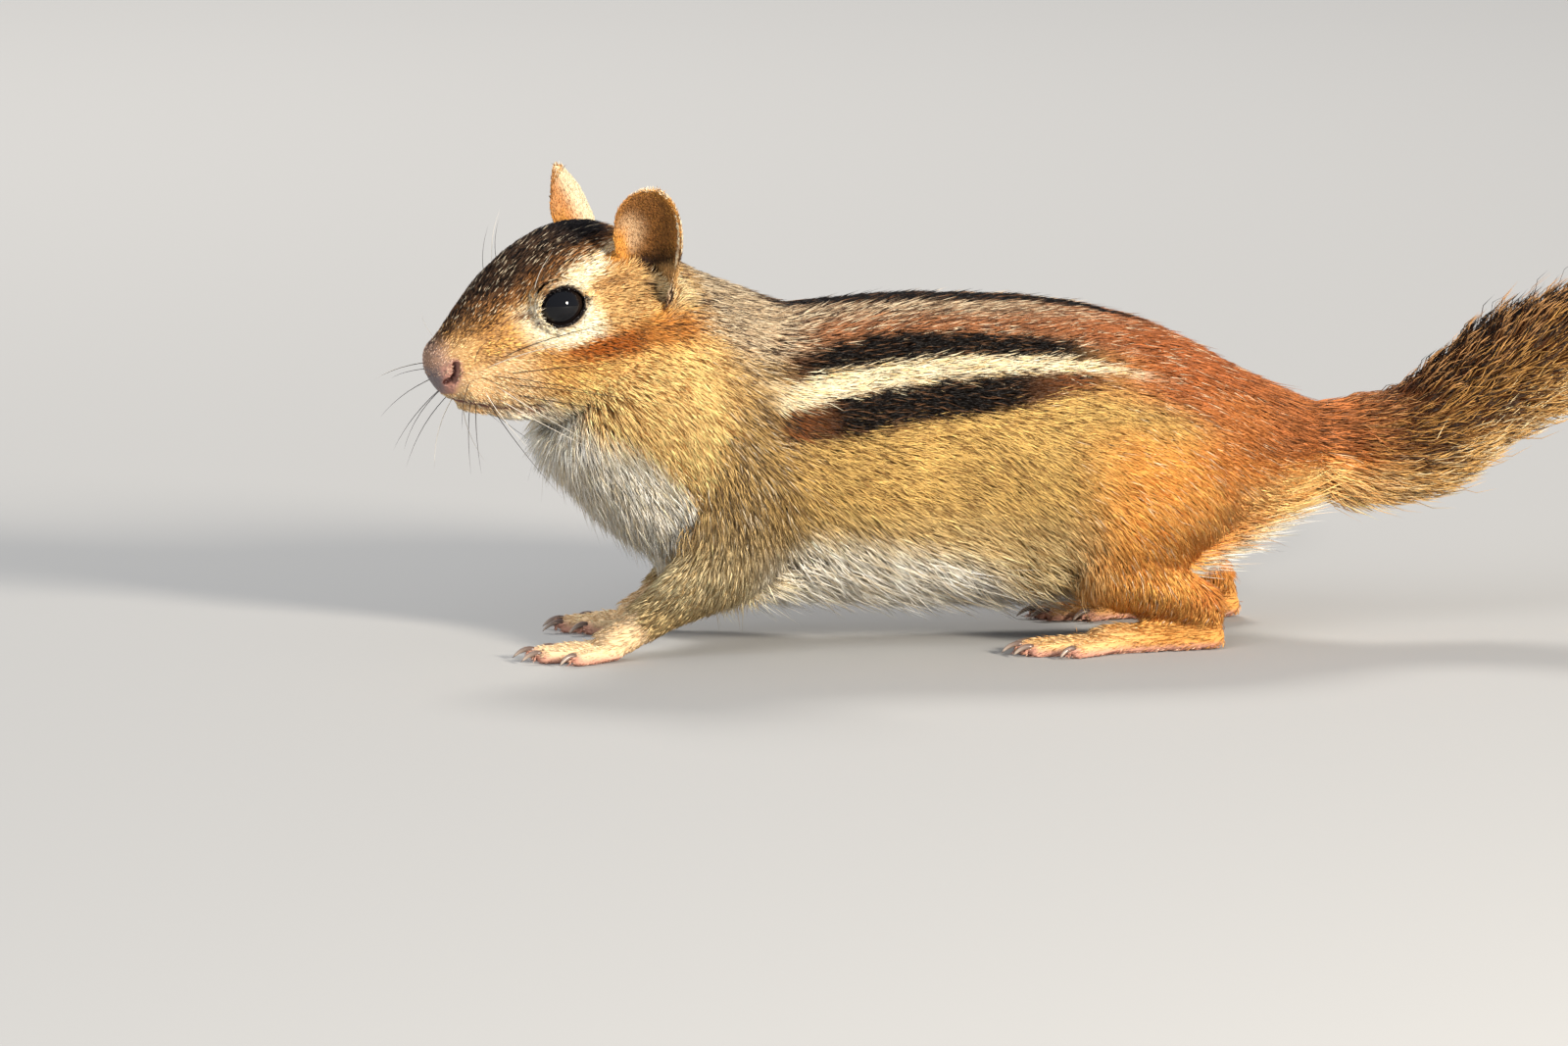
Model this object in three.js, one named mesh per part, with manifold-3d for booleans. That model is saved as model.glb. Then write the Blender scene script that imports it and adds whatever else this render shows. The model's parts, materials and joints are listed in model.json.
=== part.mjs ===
// An eastern chipmunk, life size, as a still model that stands on its four feet.
// Millimetres, +Z up. The body lies along X with the head to -X, and -Y is the animal's left side.
// The head is turned a little to the left and bowed. The origin is on the floor, under the middle
// of the whole animal. The surface is that of the coat, out to the tips of the hair.

import * as THREE from "three";
import { mergeVertices } from "three/addons/utils/BufferGeometryUtils.js";
import Module from "manifold-3d";

const wasm = await Module();
wasm.setup();

// Driving sizes
const GAP = 0.3; // left between two neighbouring pieces
const LEFT = -1; // sign of Y on the animal's left side
const RIGHT = 1;

const HEAD_TURN = THREE.MathUtils.degToRad(17); // to the animal's left
const HEAD_BOW = THREE.MathUtils.degToRad(20); // nose down
const NOSE_TIP = [-65.4, -10, 42.9];

// Places on the head are behind, above and to the side of the nose tip.
const EYE_RADIUS = 3.9;
const EYE_CENTRE = [19.5, 2.4, 8.3];
const EYE_LOOK = [-0.3, 0.22, 0.93];
const LID_THICKNESS = 0.6;
const LID_OPENING = THREE.MathUtils.degToRad(54); // from the middle of the eye to the lids
const LID_CORNER = THREE.MathUtils.degToRad(13); // further out at the two corners

// The right ear is pricked a little further forward.
const EAR_FOOT = [30.8, -0.8, 11.2];
const EAR_TIP = { [LEFT]: [36.0, 14.1, 15.9], [RIGHT]: [35.3, 14.9, 15.9] };
const EAR_FACING = { [LEFT]: [-0.5, -0.11, 0.86], [RIGHT]: [-0.7, -0.14, 0.7] };
const EAR_HALF_WIDTH = 4.6;
const EAR_DEPTH = 3.4;
const EAR_SLANT = [0.12, 0.28]; // how low it grows all round, and more so behind than in front
const EAR_SINK = 6; // how deep its foot is set in the head
const EAR_WALL = 0.75;

const KNUCKLE_HEIGHT = 2.6;
const HIP_HEIGHT = 30;
// How far behind the left foot each foot is set. A joint moves less the higher it is.
const FORE_STEP = { [LEFT]: 0, [RIGHT]: 8 };
const HIND_STEP = { [LEFT]: 0, [RIGHT]: 8 };

// Shared geometry

const vector = (list) => new THREE.Vector3(...list);
const unit = (list) => vector(list).normalize();

// A list of numbers read off a smooth curve through stations, each of which starts with its place.
function smoothly(stations) {
  const places = stations.map((station) => station[0]);
  const curve = new THREE.CubicInterpolant(places, stations.flat(), stations[0].length);
  return (place) => Array.from(curve.evaluate(place));
}

// A solid from a closed geometry, turned face out if its faces point inwards.
function solid(geometry, matrix = new THREE.Matrix4()) {
  let placed = geometry.clone().applyMatrix4(matrix);
  placed.deleteAttribute("normal");
  placed.deleteAttribute("uv");
  placed = mergeVertices(placed, 1e-4);
  const corners = new Uint32Array(placed.index.array);
  const shell = () =>
    new wasm.Manifold(
      new wasm.Mesh({
        numProp: 3,
        vertProperties: placed.attributes.position.array,
        triVerts: corners,
      }),
    );
  const made = shell();
  if (made.volume() > 0) return made;
  for (let i = 0; i < corners.length; i += 3) {
    [corners[i + 1], corners[i + 2]] = [corners[i + 2], corners[i + 1]];
  }
  return shell();
}

// A closed surface over a row of rings of points, with a pole at each end.
function overRings(rings, firstPole, lastPole) {
  const sides = rings[0].length;
  const points = [firstPole, ...rings.flat(), lastPole];
  const corner = (ring, side) => 1 + ring * sides + (side % sides);
  const end = rings.length - 1;
  const faces = [];
  for (let side = 0; side < sides; side++) {
    faces.push(0, corner(0, side), corner(0, side + 1));
    for (let ring = 0; ring < end; ring++) {
      const a = corner(ring, side);
      const b = corner(ring, side + 1);
      const c = corner(ring + 1, side);
      const d = corner(ring + 1, side + 1);
      faces.push(a, c, b, b, c, d);
    }
    faces.push(points.length - 1, corner(end, side + 1), corner(end, side));
  }
  return new THREE.BufferGeometry().setFromPoints(points).setIndex(faces);
}

// One ring: an oval that reaches its own way up, down and to both sides of its centre, and is
// squarer the higher its powers above and below are over 2.
function oval({ centre, across, up }, { half, top, bottom, powers = [2, 2] }, sides) {
  return Array.from({ length: sides }, (_, side) => {
    const angle = (2 * Math.PI * side) / sides;
    const [out, rise] = [Math.cos(angle), Math.sin(angle)];
    const bend = (x) => Math.sign(x) * Math.abs(x) ** (2 / (rise > 0 ? powers[0] : powers[1]));
    return centre
      .clone()
      .addScaledVector(across, half * bend(out))
      .addScaledVector(up, (rise > 0 ? top : bottom) * bend(rise));
  });
}

// Places of rings from one end to the other, drawn together where the two ends round off.
// Each ring leans towards its end, as far as the surface there faces along the body.
function ringPlaces(from, to, rings, [firstDome, lastDome, domeRings = 3]) {
  const places = [];
  const dome = (i) => (0.5 * Math.PI * i) / domeRings;
  for (let i = 1; i <= domeRings; i++) {
    const lean = Math.cos(dome(i));
    places.push({ place: from + firstDome * (1 - lean), scale: Math.sin(dome(i)), lean: -lean });
  }
  for (let i = 1; i < rings; i++) {
    const share = i / rings;
    const place = from + firstDome + (to - lastDome - from - firstDome) * share;
    places.push({ place, scale: 1, lean: 0 });
  }
  for (let i = domeRings; i >= 1; i--) {
    const lean = Math.cos(dome(i));
    places.push({ place: to - lastDome * (1 - lean), scale: Math.sin(dome(i)), lean });
  }
  return places;
}

// A rounded body over ovals: frameAt and sizeAt give the oval at each place, and grow swells it.
function body({ from, to, rings, sides, domes, frameAt, sizeAt, grow = 0 }) {
  const made = ringPlaces(from, to, rings, domes).map(({ place, scale, lean }) => {
    const size = sizeAt(place);
    const ring = {
      half: (size.half + grow) * scale,
      top: (size.top + grow) * scale,
      bottom: (size.bottom + grow) * scale,
      powers: size.powers,
    };
    return oval(frameAt(place + grow * lean), ring, sides);
  });
  return overRings(made, frameAt(from - grow).centre, frameAt(to + grow).centre);
}

// A curve through joints, each [x, y, z, half width, half depth]: its length, and the frame and
// the size at each place along it. The widths lie as nearly along flat as the curve lets them.
function spine(joints, flat = [0, 1, 0]) {
  const line = new THREE.CatmullRomCurve3(
    joints.map(([x, y, z]) => new THREE.Vector3(x, y, z)),
    false,
    "centripetal",
  );
  const steps = 200;
  const lengths = line.getLengths(steps);
  const length = lengths[steps];
  const sizes = smoothly(
    joints.map(([, , , half, deep], i) => [
      lengths[Math.round((steps * i) / (joints.length - 1))],
      half,
      deep,
    ]),
  );
  const frameAt = (place) => {
    const share = THREE.MathUtils.clamp(place / length, 0, 1);
    const tangent = line.getTangentAt(share);
    const side = vector(flat);
    const across = side.addScaledVector(tangent, -side.dot(tangent)).normalize();
    const centre = line.getPointAt(share).addScaledVector(tangent, place - share * length);
    return { centre, across, up: new THREE.Vector3().crossVectors(across, tangent), tangent };
  };
  const sizeAt = (place) => {
    const [, half, deep] = sizes(THREE.MathUtils.clamp(place, 0, length));
    return { half, top: deep, bottom: deep };
  };
  return { length, frameAt, sizeAt };
}

// A limb along such a curve, rounded off at both ends.
function limb(joints, { flat, ...sizes }) {
  const { length, frameAt, sizeAt } = spine(joints, flat);
  return solid(body({ from: 0, to: length, frameAt, sizeAt, ...sizes }));
}

// A ball drawn out to three radii, in a frame of its own or in the animal's.
function ball(centre, radii, sides, frame = new THREE.Matrix4()) {
  const geometry = new THREE.SphereGeometry(1, sides, Math.round(sides * 0.6));
  const place = new THREE.Matrix4().makeTranslation(...centre).scale(vector(radii));
  return solid(geometry, place.premultiply(frame));
}

const joined = (pieces) => pieces.reduce((whole, piece) => whole.add(piece));

// The largest closed body of a shape, without the scraps that a cut leaves.
function largest(shape) {
  const bodies = shape.decompose();
  return bodies.reduce((best, one) => (one.volume() > best.volume() ? one : best));
}

// The two sides of a thin flat cut: the one that the normal points into comes first.
function parted(shape, point, normal) {
  const direction = unit(normal);
  const offset = direction.dot(vector(point));
  const ahead = shape.trimByPlane(direction.toArray(), offset + GAP / 2);
  const behind = shape.trimByPlane(direction.clone().negate().toArray(), GAP / 2 - offset);
  return [largest(ahead), largest(behind)];
}

// The head, in its own frame: X backwards from the nose tip, Y up and Z to the animal's left.

function headFrame() {
  const [turn, bow] = [HEAD_TURN, HEAD_BOW];
  const back = vector([
    Math.cos(bow) * Math.cos(turn),
    Math.cos(bow) * Math.sin(turn),
    Math.sin(bow),
  ]);
  const left = vector([Math.sin(turn), -Math.cos(turn), 0]);
  const up = new THREE.Vector3().crossVectors(left, back);
  return new THREE.Matrix4().makeBasis(back, up, left).setPosition(vector(NOSE_TIP));
}
const HEAD = headFrame();

// Sections from the nose tip back: place, top, widest level, bottom and half width.
const headSections = smoothly([
  [0, 2.4, -1.0, -4.2, 2.8],
  [2, 2.9, -1.4, -6.1, 3.5],
  [4.5, 4.1, -2.6, -8.5, 4.9],
  [8, 6.3, -3.7, -11.5, 6.8],
  [12, 8.5, -3.8, -13.5, 8.7],
  [16, 10.0, -3.6, -15.0, 10.4],
  [20, 11.0, -3.8, -16.4, 11.8],
  [25, 11.4, -4.8, -17.6, 13.0],
  [31, 10.3, -6.0, -18.2, 13.5],
  [37, 7.4, -7.0, -18.4, 13.7],
  [43, 2.5, -8.0, -18.0, 13.2],
]);
const HEAD_LENGTH = 43;
const HEAD_DOMES = [1.7, 11];
const HEAD_POWERS = [1.92, 2.15];

function headBall(grow = 0) {
  const frameAt = (place) => ({
    centre: vector([place, headSections(THREE.MathUtils.clamp(place, 0, HEAD_LENGTH))[2], 0]),
    across: vector([0, 0, 1]),
    up: vector([0, 1, 0]),
  });
  const sizeAt = (place) => {
    const [, top, widest, bottom, half] = headSections(place);
    return { half, top: top - widest, bottom: widest - bottom, powers: HEAD_POWERS };
  };
  const sizes = { from: 0, to: HEAD_LENGTH, rings: 20, sides: 28, domes: HEAD_DOMES };
  return solid(body({ ...sizes, frameAt, sizeAt, grow }), HEAD);
}

// How far out to the side the face lies at a place along the head and a level.
function faceSide(place, level) {
  const [, top, widest, bottom, half] = headSections(place);
  const [reach, power] = level > widest
    ? [top - widest, HEAD_POWERS[0]]
    : [widest - bottom, HEAD_POWERS[1]];
  const share = Math.min(Math.abs(level - widest) / reach, 0.98);
  return half * (1 - share ** power) ** (1 / power);
}

// A point or a direction of the head's frame in the animal's, on the left or the right side.
const onHead = ([back, up, side], sign = LEFT) =>
  vector([back, up, -sign * side]).applyMatrix4(HEAD);
const headTurn = ([back, up, side], sign) =>
  unit([back, up, -sign * side]).transformDirection(HEAD);

function eyeball(sign, grow = 0) {
  const radius = EYE_RADIUS + grow;
  const [back, up, side] = EYE_CENTRE;
  return ball([back, up, -sign * side], [radius, radius, radius], 14, HEAD);
}

// The lids: a ring laid on the eyeball, drawn out into a corner in front and one behind.
function lids(sign) {
  const look = headTurn(EYE_LOOK, sign);
  const rear = headTurn([1, 0, 0], sign);
  rear.addScaledVector(look, -rear.dot(look)).normalize();
  const rise = new THREE.Vector3().crossVectors(rear, look).multiplyScalar(sign);
  const middle = onHead(EYE_CENTRE, sign);
  const ring = new THREE.TorusGeometry(1, LID_THICKNESS, 5, 17);
  const places = ring.attributes.position;
  for (let i = 0; i < places.count; i++) {
    const point = new THREE.Vector3().fromBufferAttribute(places, i);
    const around = Math.atan2(point.y, point.x);
    const radius = EYE_RADIUS + GAP + 0.3 + point.z;
    const opening = LID_OPENING + LID_CORNER * Math.abs(Math.cos(around)) ** 6;
    const angle = opening + (Math.hypot(point.x, point.y) - 1) / EYE_RADIUS;
    const placed = middle
      .clone()
      .addScaledVector(look, radius * Math.cos(angle))
      .addScaledVector(rear, radius * Math.sin(angle) * Math.cos(around))
      .addScaledVector(rise, radius * Math.sin(angle) * Math.sin(around));
    places.setXYZ(i, ...placed.toArray());
  }
  return solid(ring);
}

// The upper lip swells into a pad for the whiskers on each side.
const whiskerPad = (sign) => ball([7.2, -5.1, -sign * 3.2], [4.7, 3.1, 2.6], 10, HEAD);

// The line of the mouth, from its corner to the front, with the lower lip rolled out under it.
const MOUTH_LINE = [
  [12.6, -10.7],
  [9.8, -10.1],
  [6.6, -8.8],
  [3.6, -6.9],
];
const MOUTH_FRONT = [1.3, -5.7];
const MOUTH_GROOVE = 0.5;
const LIP = 0.7;

function alongMouth(drop, sink, thickness) {
  const side = (sign) =>
    MOUTH_LINE.map(([back, up]) => onHead([back, up - drop, faceSide(back, up - drop) - sink], sign));
  const front = onHead([MOUTH_FRONT[0] + 1.6 * drop, MOUTH_FRONT[1] - drop, 0]);
  const joints = [...side(LEFT), front, ...side(RIGHT).reverse()].map((point) => [
    ...point.toArray(),
    thickness,
    thickness,
  ]);
  return limb(joints, { rings: 15, sides: 5, domes: [0.5, 0.5, 1], flat: [0, 0, 1] });
}

// A nostril: a comma-shaped pit on the side of the nose, widest at its lower end.
const NOSTRIL_LINE = [
  [3.1, -0.8, 0.3],
  [2.5, -2.2, 0.42],
  [1.0, -3.2, 0.6],
];

function nostril(sign) {
  const joints = NOSTRIL_LINE.map(([back, up, thickness]) => {
    const point = onHead([back, up, faceSide(back, up) + 0.05], sign);
    return [...point.toArray(), thickness, thickness];
  });
  return limb(joints, { rings: 4, sides: 6, domes: [0.4, 0.4, 1], flat: [0, 0, 1] });
}

// The groove that parts the upper lip under the nose.
function lipCleft() {
  const joints = [[0.1, -2.4], [0.5, -4.2], MOUTH_FRONT].map((place, i) => [
    ...onHead([place[0] - 0.9, place[1], 0]).toArray(),
    0.3,
    0.5 + 0.4 * i,
  ]);
  return limb(joints, { rings: 4, sides: 6, domes: [0.4, 0.4, 1] });
}

// An ear: a thin leaf bent into a cup that is deep at its foot and shallow at its round tip.
const EAR_WIDEST = 0.62; // share of the way from foot to tip
const EAR_ROWS = 10;
const EAR_COLUMNS = 10;

function ear(sign) {
  const foot = onHead(EAR_FOOT, sign);
  const length = onHead(EAR_TIP[sign], sign).sub(foot);
  const rise = length.clone().normalize();
  const facing = headTurn(EAR_FACING[sign], sign);
  facing.addScaledVector(rise, -facing.dot(rise)).normalize();
  const across = new THREE.Vector3().crossVectors(facing, rise).multiplyScalar(sign);

  const lower = Math.round(EAR_ROWS * 0.45);
  const shareAt = (row) =>
    row <= lower
      ? (EAR_WIDEST * row) / lower
      : EAR_WIDEST +
        (1 - EAR_WIDEST) * Math.sin((0.46 * Math.PI * (row - lower)) / (EAR_ROWS - lower));
  const halfWidth = (share) =>
    share > EAR_WIDEST
      ? EAR_HALF_WIDTH * Math.sqrt(1 - ((share - EAR_WIDEST) / (1 - EAR_WIDEST)) ** 2)
      : EAR_HALF_WIDTH - 1.6 * (1 - share / EAR_WIDEST) ** 1.5;

  const leaf = (row, column, out) => {
    const turn = (2 * column) / EAR_COLUMNS - 1;
    const share = shareAt(row) - (EAR_SLANT[0] + EAR_SLANT[1] * turn) * (1 - shareAt(row));
    const angle = turn * THREE.MathUtils.degToRad(90 + 30 * Math.max(0, 1 - share / 0.4));
    const depth = EAR_DEPTH * (1 - 0.75 * THREE.MathUtils.smoothstep(share, 0.35, 1));
    const end = (out * row) / EAR_ROWS;
    const sink = EAR_SINK * Math.max(0, 1 - row / 3) ** 2;
    return foot
      .clone()
      .addScaledVector(length, share)
      .addScaledVector(rise, end * Math.max(0, shareAt(row) - EAR_WIDEST))
      .addScaledVector(across, (halfWidth(shareAt(row)) + out) * Math.sin(angle))
      .addScaledVector(facing, -(depth + out) * Math.cos(angle) - sink);
  };
  const columns = Array.from({ length: EAR_COLUMNS + 1 }, (_, column) => column);
  const rings = Array.from({ length: EAR_ROWS + 1 }, (_, row) => [
    ...columns.map((column) => leaf(row, column, 0)),
    ...columns.map((column) => leaf(row, column, EAR_WALL)).reverse(),
  ]);
  return solid(closedStrip(rings));
}

// A closed surface over rings that run out along a leaf and back: its ends are flat strips.
function closedStrip(rings) {
  const round = rings[0].length;
  const faces = [];
  for (let ring = 0; ring < rings.length - 1; ring++) {
    for (let side = 0; side < round; side++) {
      const a = ring * round + side;
      const b = ring * round + ((side + 1) % round);
      faces.push(a, b, a + round, b, b + round, a + round);
    }
  }
  const last = (rings.length - 1) * round;
  for (let side = 0; side < round / 2 - 1; side++) {
    const [a, b, c, d] = [side, side + 1, round - 2 - side, round - 1 - side];
    faces.push(a, c, b, a, d, c);
    faces.push(last + a, last + b, last + c, last + a, last + c, last + d);
  }
  return new THREE.BufferGeometry().setFromPoints(rings.flat()).setIndex(faces);
}

const earCanal = (sign) => ball([33.0, -0.4, -sign * 12.6], [1.4, 2.9, 2.4], 10, HEAD);

// The trunk. Sections along X: place, top, widest level, bottom and half width.
const trunkSections = smoothly([
  [-35, 32, 22, 13, 9.5],
  [-26, 43, 24, 9.0, 15],
  [-12, 50.2, 25, 7.2, 18],
  [0, 51.2, 25, 7.2, 19.6],
  [12, 51.6, 25, 6.6, 20.8],
  [24, 51.0, 25, 6.6, 21.6],
  [36, 48.8, 25, 7.6, 21.2],
  [46, 45.1, 25, 9.6, 19],
  [54, 40.7, 25.5, 12.6, 15.2],
  [61, 36.4, 26.5, 17.2, 10.4],
  [68, 33.6, 27.2, 20.6, 7.0],
]);
const TRUNK_ENDS = [-35, 68];
const TRUNK_DOMES = [7, 4, 2];

function trunk() {
  const frameAt = (place) => ({
    centre: vector([place, 0, trunkSections(THREE.MathUtils.clamp(place, ...TRUNK_ENDS))[2]]),
    across: vector([0, 1, 0]),
    up: vector([0, 0, 1]),
  });
  const sizeAt = (place) => {
    const [, top, widest, bottom, half] = trunkSections(place);
    return { half, top: top - widest, bottom: widest - bottom, powers: [2.1, 2.2] };
  };
  const [from, to] = TRUNK_ENDS;
  return solid(body({ from, to, rings: 14, sides: 24, domes: TRUNK_DOMES, frameAt, sizeAt }));
}

// The neck, from deep in the trunk to deep in the head: half width and half depth at each joint.
const NECK_JOINTS = [
  [-6, 0, 29.5, 17.5, 19.5],
  [-15, 0, 30.5, 17.2, 19.8],
  [-23.8, -0.3, 33.6, 16.0, 20.2],
  [-31.5, -1.2, 39, 14.4, 18.6],
  [-37, -2.4, 44, 13.0, 16.4],
  [-42, -3.8, 47.6, 11.0, 12.5],
];

const neckBody = () => limb(NECK_JOINTS, { rings: 7, sides: 22, domes: [4, 6, 2] });

// The legs. In their joints Y is outwards from the middle of the body.

function placed([x, y, z, ...sizes], sign, steps) {
  const follows = 1 - THREE.MathUtils.clamp(z / HIP_HEIGHT, 0, 1);
  return [x + steps[sign] * follows, sign * y, z, ...sizes];
}

const legPart = (joints, sign, steps, sizes) =>
  limb(joints.map((joint) => placed(joint, sign, steps)), sizes);

const FORE_LIMB = [
  [-16.5, 10.2, 30.5, 8.0, 10.5],
  [-18.5, 13.0, 21, 6.9, 9.0],
  [-22.5, 14.6, 13.6, 5.0, 6.2],
  [-29.5, 14.8, 8.9, 3.8, 4.1],
  [-35.6, 14.8, 4.4, 2.9, 2.6],
  [-41.2, 15.2, 1.3, 3.8, 2.3],
];
const THIGH = [
  [48, 8.5, 31, 7.0, 8.5],
  [42.5, 12.2, 25.5, 8.8, 12.2],
  [35.5, 14.8, 19, 7.8, 11.2],
  [29, 16.2, 12.8, 5.6, 7.4],
];
const SHANK = [
  [29.5, 16.2, 12.2, 4.9, 5.2],
  [38.5, 16.6, 10.2, 4.5, 4.8],
  [46.5, 16.4, 7.7, 3.7, 3.9],
  [50.6, 16.0, 4.2, 2.8, 3.1],
];
const SOLE = [
  [51.6, 15.9, 2.2, 2.3, 2.6],
  [46, 16.2, 2.1, 2.5, 2.6],
  [38, 16.9, 1.9, 3.0, 2.5],
  [31, 17.7, 1.7, 3.7, 2.2],
];

const foreLimb = (sign, grow = 0) =>
  legPart(FORE_LIMB, sign, FORE_STEP, { rings: 9, sides: 12, domes: [5, 2, 2], grow });
const thigh = (sign, grow = 0) =>
  legPart(THIGH, sign, HIND_STEP, { rings: 5, sides: 14, domes: [7, 6, 2], grow });
const shank = (sign, grow = 0) =>
  legPart(SHANK, sign, HIND_STEP, { rings: 5, sides: 10, domes: [3, 2.4, 2], grow });
const sole = (sign) =>
  legPart(SOLE, sign, HIND_STEP, { rings: 4, sides: 10, domes: [2, 1.8, 2] });

// Toes: where each leaves the foot, where its tip is, its thickness, and the length of its claw.
const FORE_TOES = [
  [[-38.2, 13.8], [-47.4, 10.4], 1.15, 2.3],
  [[-38.6, 14.7], [-50.6, 13.2], 1.2, 2.4],
  [[-38.6, 15.7], [-50.0, 17.3], 1.2, 2.4],
  [[-37.8, 16.6], [-45.4, 21.0], 1.15, 2.2],
];
const HIND_TOES = [
  [[35, 16.2], [27.4, 13.2], 1.15, 2.0],
  [[33.4, 16.9], [21.8, 15.3], 1.3, 2.4],
  [[33.0, 17.6], [20.4, 18.0], 1.35, 2.4],
  [[33.4, 18.3], [21.6, 20.7], 1.3, 2.4],
  [[35.2, 18.9], [27.4, 23.6], 1.2, 2.1],
];

function toe([root, tip, thickness, claw], sign, steps) {
  const [start, end] = [new THREE.Vector2(...root), new THREE.Vector2(...tip)];
  const onwards = (reach, z, ...sizes) => {
    const { x, y } = end.clone().addScaledVector(end.clone().sub(start).normalize(), reach);
    return placed([x, y, z, ...sizes], sign, steps);
  };
  const length = start.distanceTo(end);
  const digit = [
    onwards(-length, 1.6, thickness * 1.2, thickness * 1.2),
    onwards(-length / 2, KNUCKLE_HEIGHT - thickness * 1.2, thickness, thickness * 1.2),
    onwards(0, 0.85, thickness * 0.92, thickness),
  ];
  const nail = [
    onwards(-1.2, 1.15, 0.6, 0.7),
    onwards(claw * 0.5, 1.35, 0.42, 0.5),
    onwards(claw, 0.35, 0.12, 0.18),
  ];
  return [
    limb(digit, { rings: 3, sides: 5, domes: [0.6, 1.0, 2] }),
    limb(nail, { rings: 2, sides: 4, domes: [0.2, 0.1, 1] }),
  ];
}

// A leg with its foot, cut flat where it stands on the floor, and parted at the wrist or ankle.
function standing(pieces, joint, normal) {
  const onFloor = joined(pieces).trimByPlane([0, 0, 1], 0);
  return parted(onFloor, joint, normal);
}

function foreLeg(sign) {
  const toes = FORE_TOES.flatMap((one) => toe(one, sign, FORE_STEP));
  const wrist = placed([-33.6, 14.8, 5.6], sign, FORE_STEP);
  return standing([foreLimb(sign), ...toes], wrist, [0.86, 0, 0.5]);
}

function hindLeg(sign) {
  const toes = HIND_TOES.flatMap((one) => toe(one, sign, HIND_STEP));
  const ankle = placed([48, 16.2, 4.9], sign, HIND_STEP);
  return standing([thigh(sign), shank(sign), sole(sign), ...toes], ankle, [0, 0, 1]);
}

// The tail: its line and, at each joint, how far the hair reaches sideways and up.
const TAIL_JOINTS = [
  [58, 0, 27.6, 5.5, 6.2],
  [66, 0, 26.9, 6.8, 7.4],
  [75, 0.4, 26.0, 8.2, 8.7],
  [82.3, 0.8, 28.7, 9.0, 9.9],
  [89.5, 1.3, 33.4, 9.2, 10.3],
  [96.7, 1.8, 37.7, 9.2, 10.1],
  [103.9, 2.4, 40.8, 9.0, 9.7],
  [115, 3.6, 44.2, 8.8, 9.4],
  [127, 5.2, 48.8, 8.2, 8.6],
  [138, 7.0, 54.4, 6.0, 6.4],
  [147, 8.8, 60.4, 1.6, 1.8],
];
const tail = spine(TAIL_JOINTS);
const TAIL_ROOT = 7.2; // where along its line the tail leaves the trunk
const TAIL_CORE = 0.46; // share of the hair's reach that the core fills
const TAIL_CORE_FULL = 10; // how far past its root the core narrows down to that

const LOCK_ROWS = 12; // the first starts inside the trunk and is cut off where the tail leaves it
const LOCKS_IN_ROW = 7;
const FIRST_ROW = TAIL_ROOT - 3;
const LAST_ROW = tail.length - 8.5;
const ROW_STEP = (LAST_ROW - FIRST_ROW) / (LOCK_ROWS - 1);
const ROWS_IN_NODE = [4, 4, 4]; // base, middle and tip
const LOCK_LENGTH = 13.5;
const LOCK_THICKNESS = 0.85; // half, at its middle
// Along a lock: share of its length, share of the hair's reach, half width as a share of its place
// in the row, and share of the thickness.
const LOCK_SHAPE = [
  [0, 0.28, 0.8, 1],
  [0.34, 0.66, 0.96, 1],
  [0.7, 0.89, 0.78, 0.7],
];
const LOCK_TIP = [1, 1];

function tailCore() {
  const share = (place) =>
    1 - (1 - TAIL_CORE) * THREE.MathUtils.smoothstep(place - TAIL_ROOT, 1, TAIL_CORE_FULL);
  const sizeAt = (place) => {
    const { half, top, bottom } = tail.sizeAt(place);
    const kept = share(place);
    return { half: half * kept, top: top * kept, bottom: bottom * kept };
  };
  const sizes = { from: 0, to: tail.length, rings: 18, sides: 10, domes: [3, 2, 2] };
  return solid(body({ ...sizes, frameAt: tail.frameAt, sizeAt }));
}

// Numbers from 0 to 1 that look random and are the same on every run.
function draws(seed) {
  let state = seed;
  return () => {
    state = (state * 1103515245 + 12345) % 2147483648;
    return state / 2147483648;
  };
}

// A point at an angle round the tail, at a share of the hair's reach there.
function inTail(place, angle, reach) {
  const { centre, across, up } = tail.frameAt(place);
  const { half, top } = tail.sizeAt(place);
  return centre
    .clone()
    .addScaledVector(across, half * reach * Math.cos(angle))
    .addScaledVector(up, top * reach * Math.sin(angle));
}

// A lock: flat, widest at a third of its length, rising out of the core and bending down to lie
// along the tail.
function lock(root, angle, { length, lean, lift }) {
  const on = ([along, reach]) => inTail(root + length * along, angle + lean * along, reach * lift);
  const step = Math.PI / LOCKS_IN_ROW;
  const rings = LOCK_SHAPE.map(([along, reach, width, thick]) => {
    const here = on([along, reach]);
    const aside = inTail(root + length * along, angle + lean * along + step * width, reach * lift);
    const wide = aside.sub(here);
    const onwards = on([along + 0.05, reach + 0.03]).sub(here);
    const over = new THREE.Vector3().crossVectors(wide, onwards).normalize();
    over.multiplyScalar(LOCK_THICKNESS * thick);
    return [wide, over, wide.clone().negate(), over.clone().negate()].map((way) => way.add(here));
  });
  const start = on([-0.06, LOCK_SHAPE[0][1] - 0.05]);
  return solid(overRings(rings, start, on(LOCK_TIP)));
}

function tailLocks(firstRow, rows) {
  const draw = draws(11 + firstRow);
  const around = (spread) => spread * (2 * draw() - 1);
  const locks = [];
  for (let row = firstRow; row < firstRow + rows; row++) {
    const root = FIRST_ROW + ROW_STEP * row;
    const count = row < LOCK_ROWS - 1 ? LOCKS_IN_ROW : LOCKS_IN_ROW - 2;
    for (let i = 0; i < count; i++) {
      const angle = (2 * Math.PI * (i + 0.5 * (row % 2))) / count + around(0.1);
      const length = Math.min(LOCK_LENGTH * (1 + around(0.12)), tail.length + 0.5 - root);
      const shape = { length, lean: around(0.12), lift: 1 + around(0.04) };
      locks.push(lock(root + around(0.5), angle, shape));
    }
  }
  return locks;
}

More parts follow.
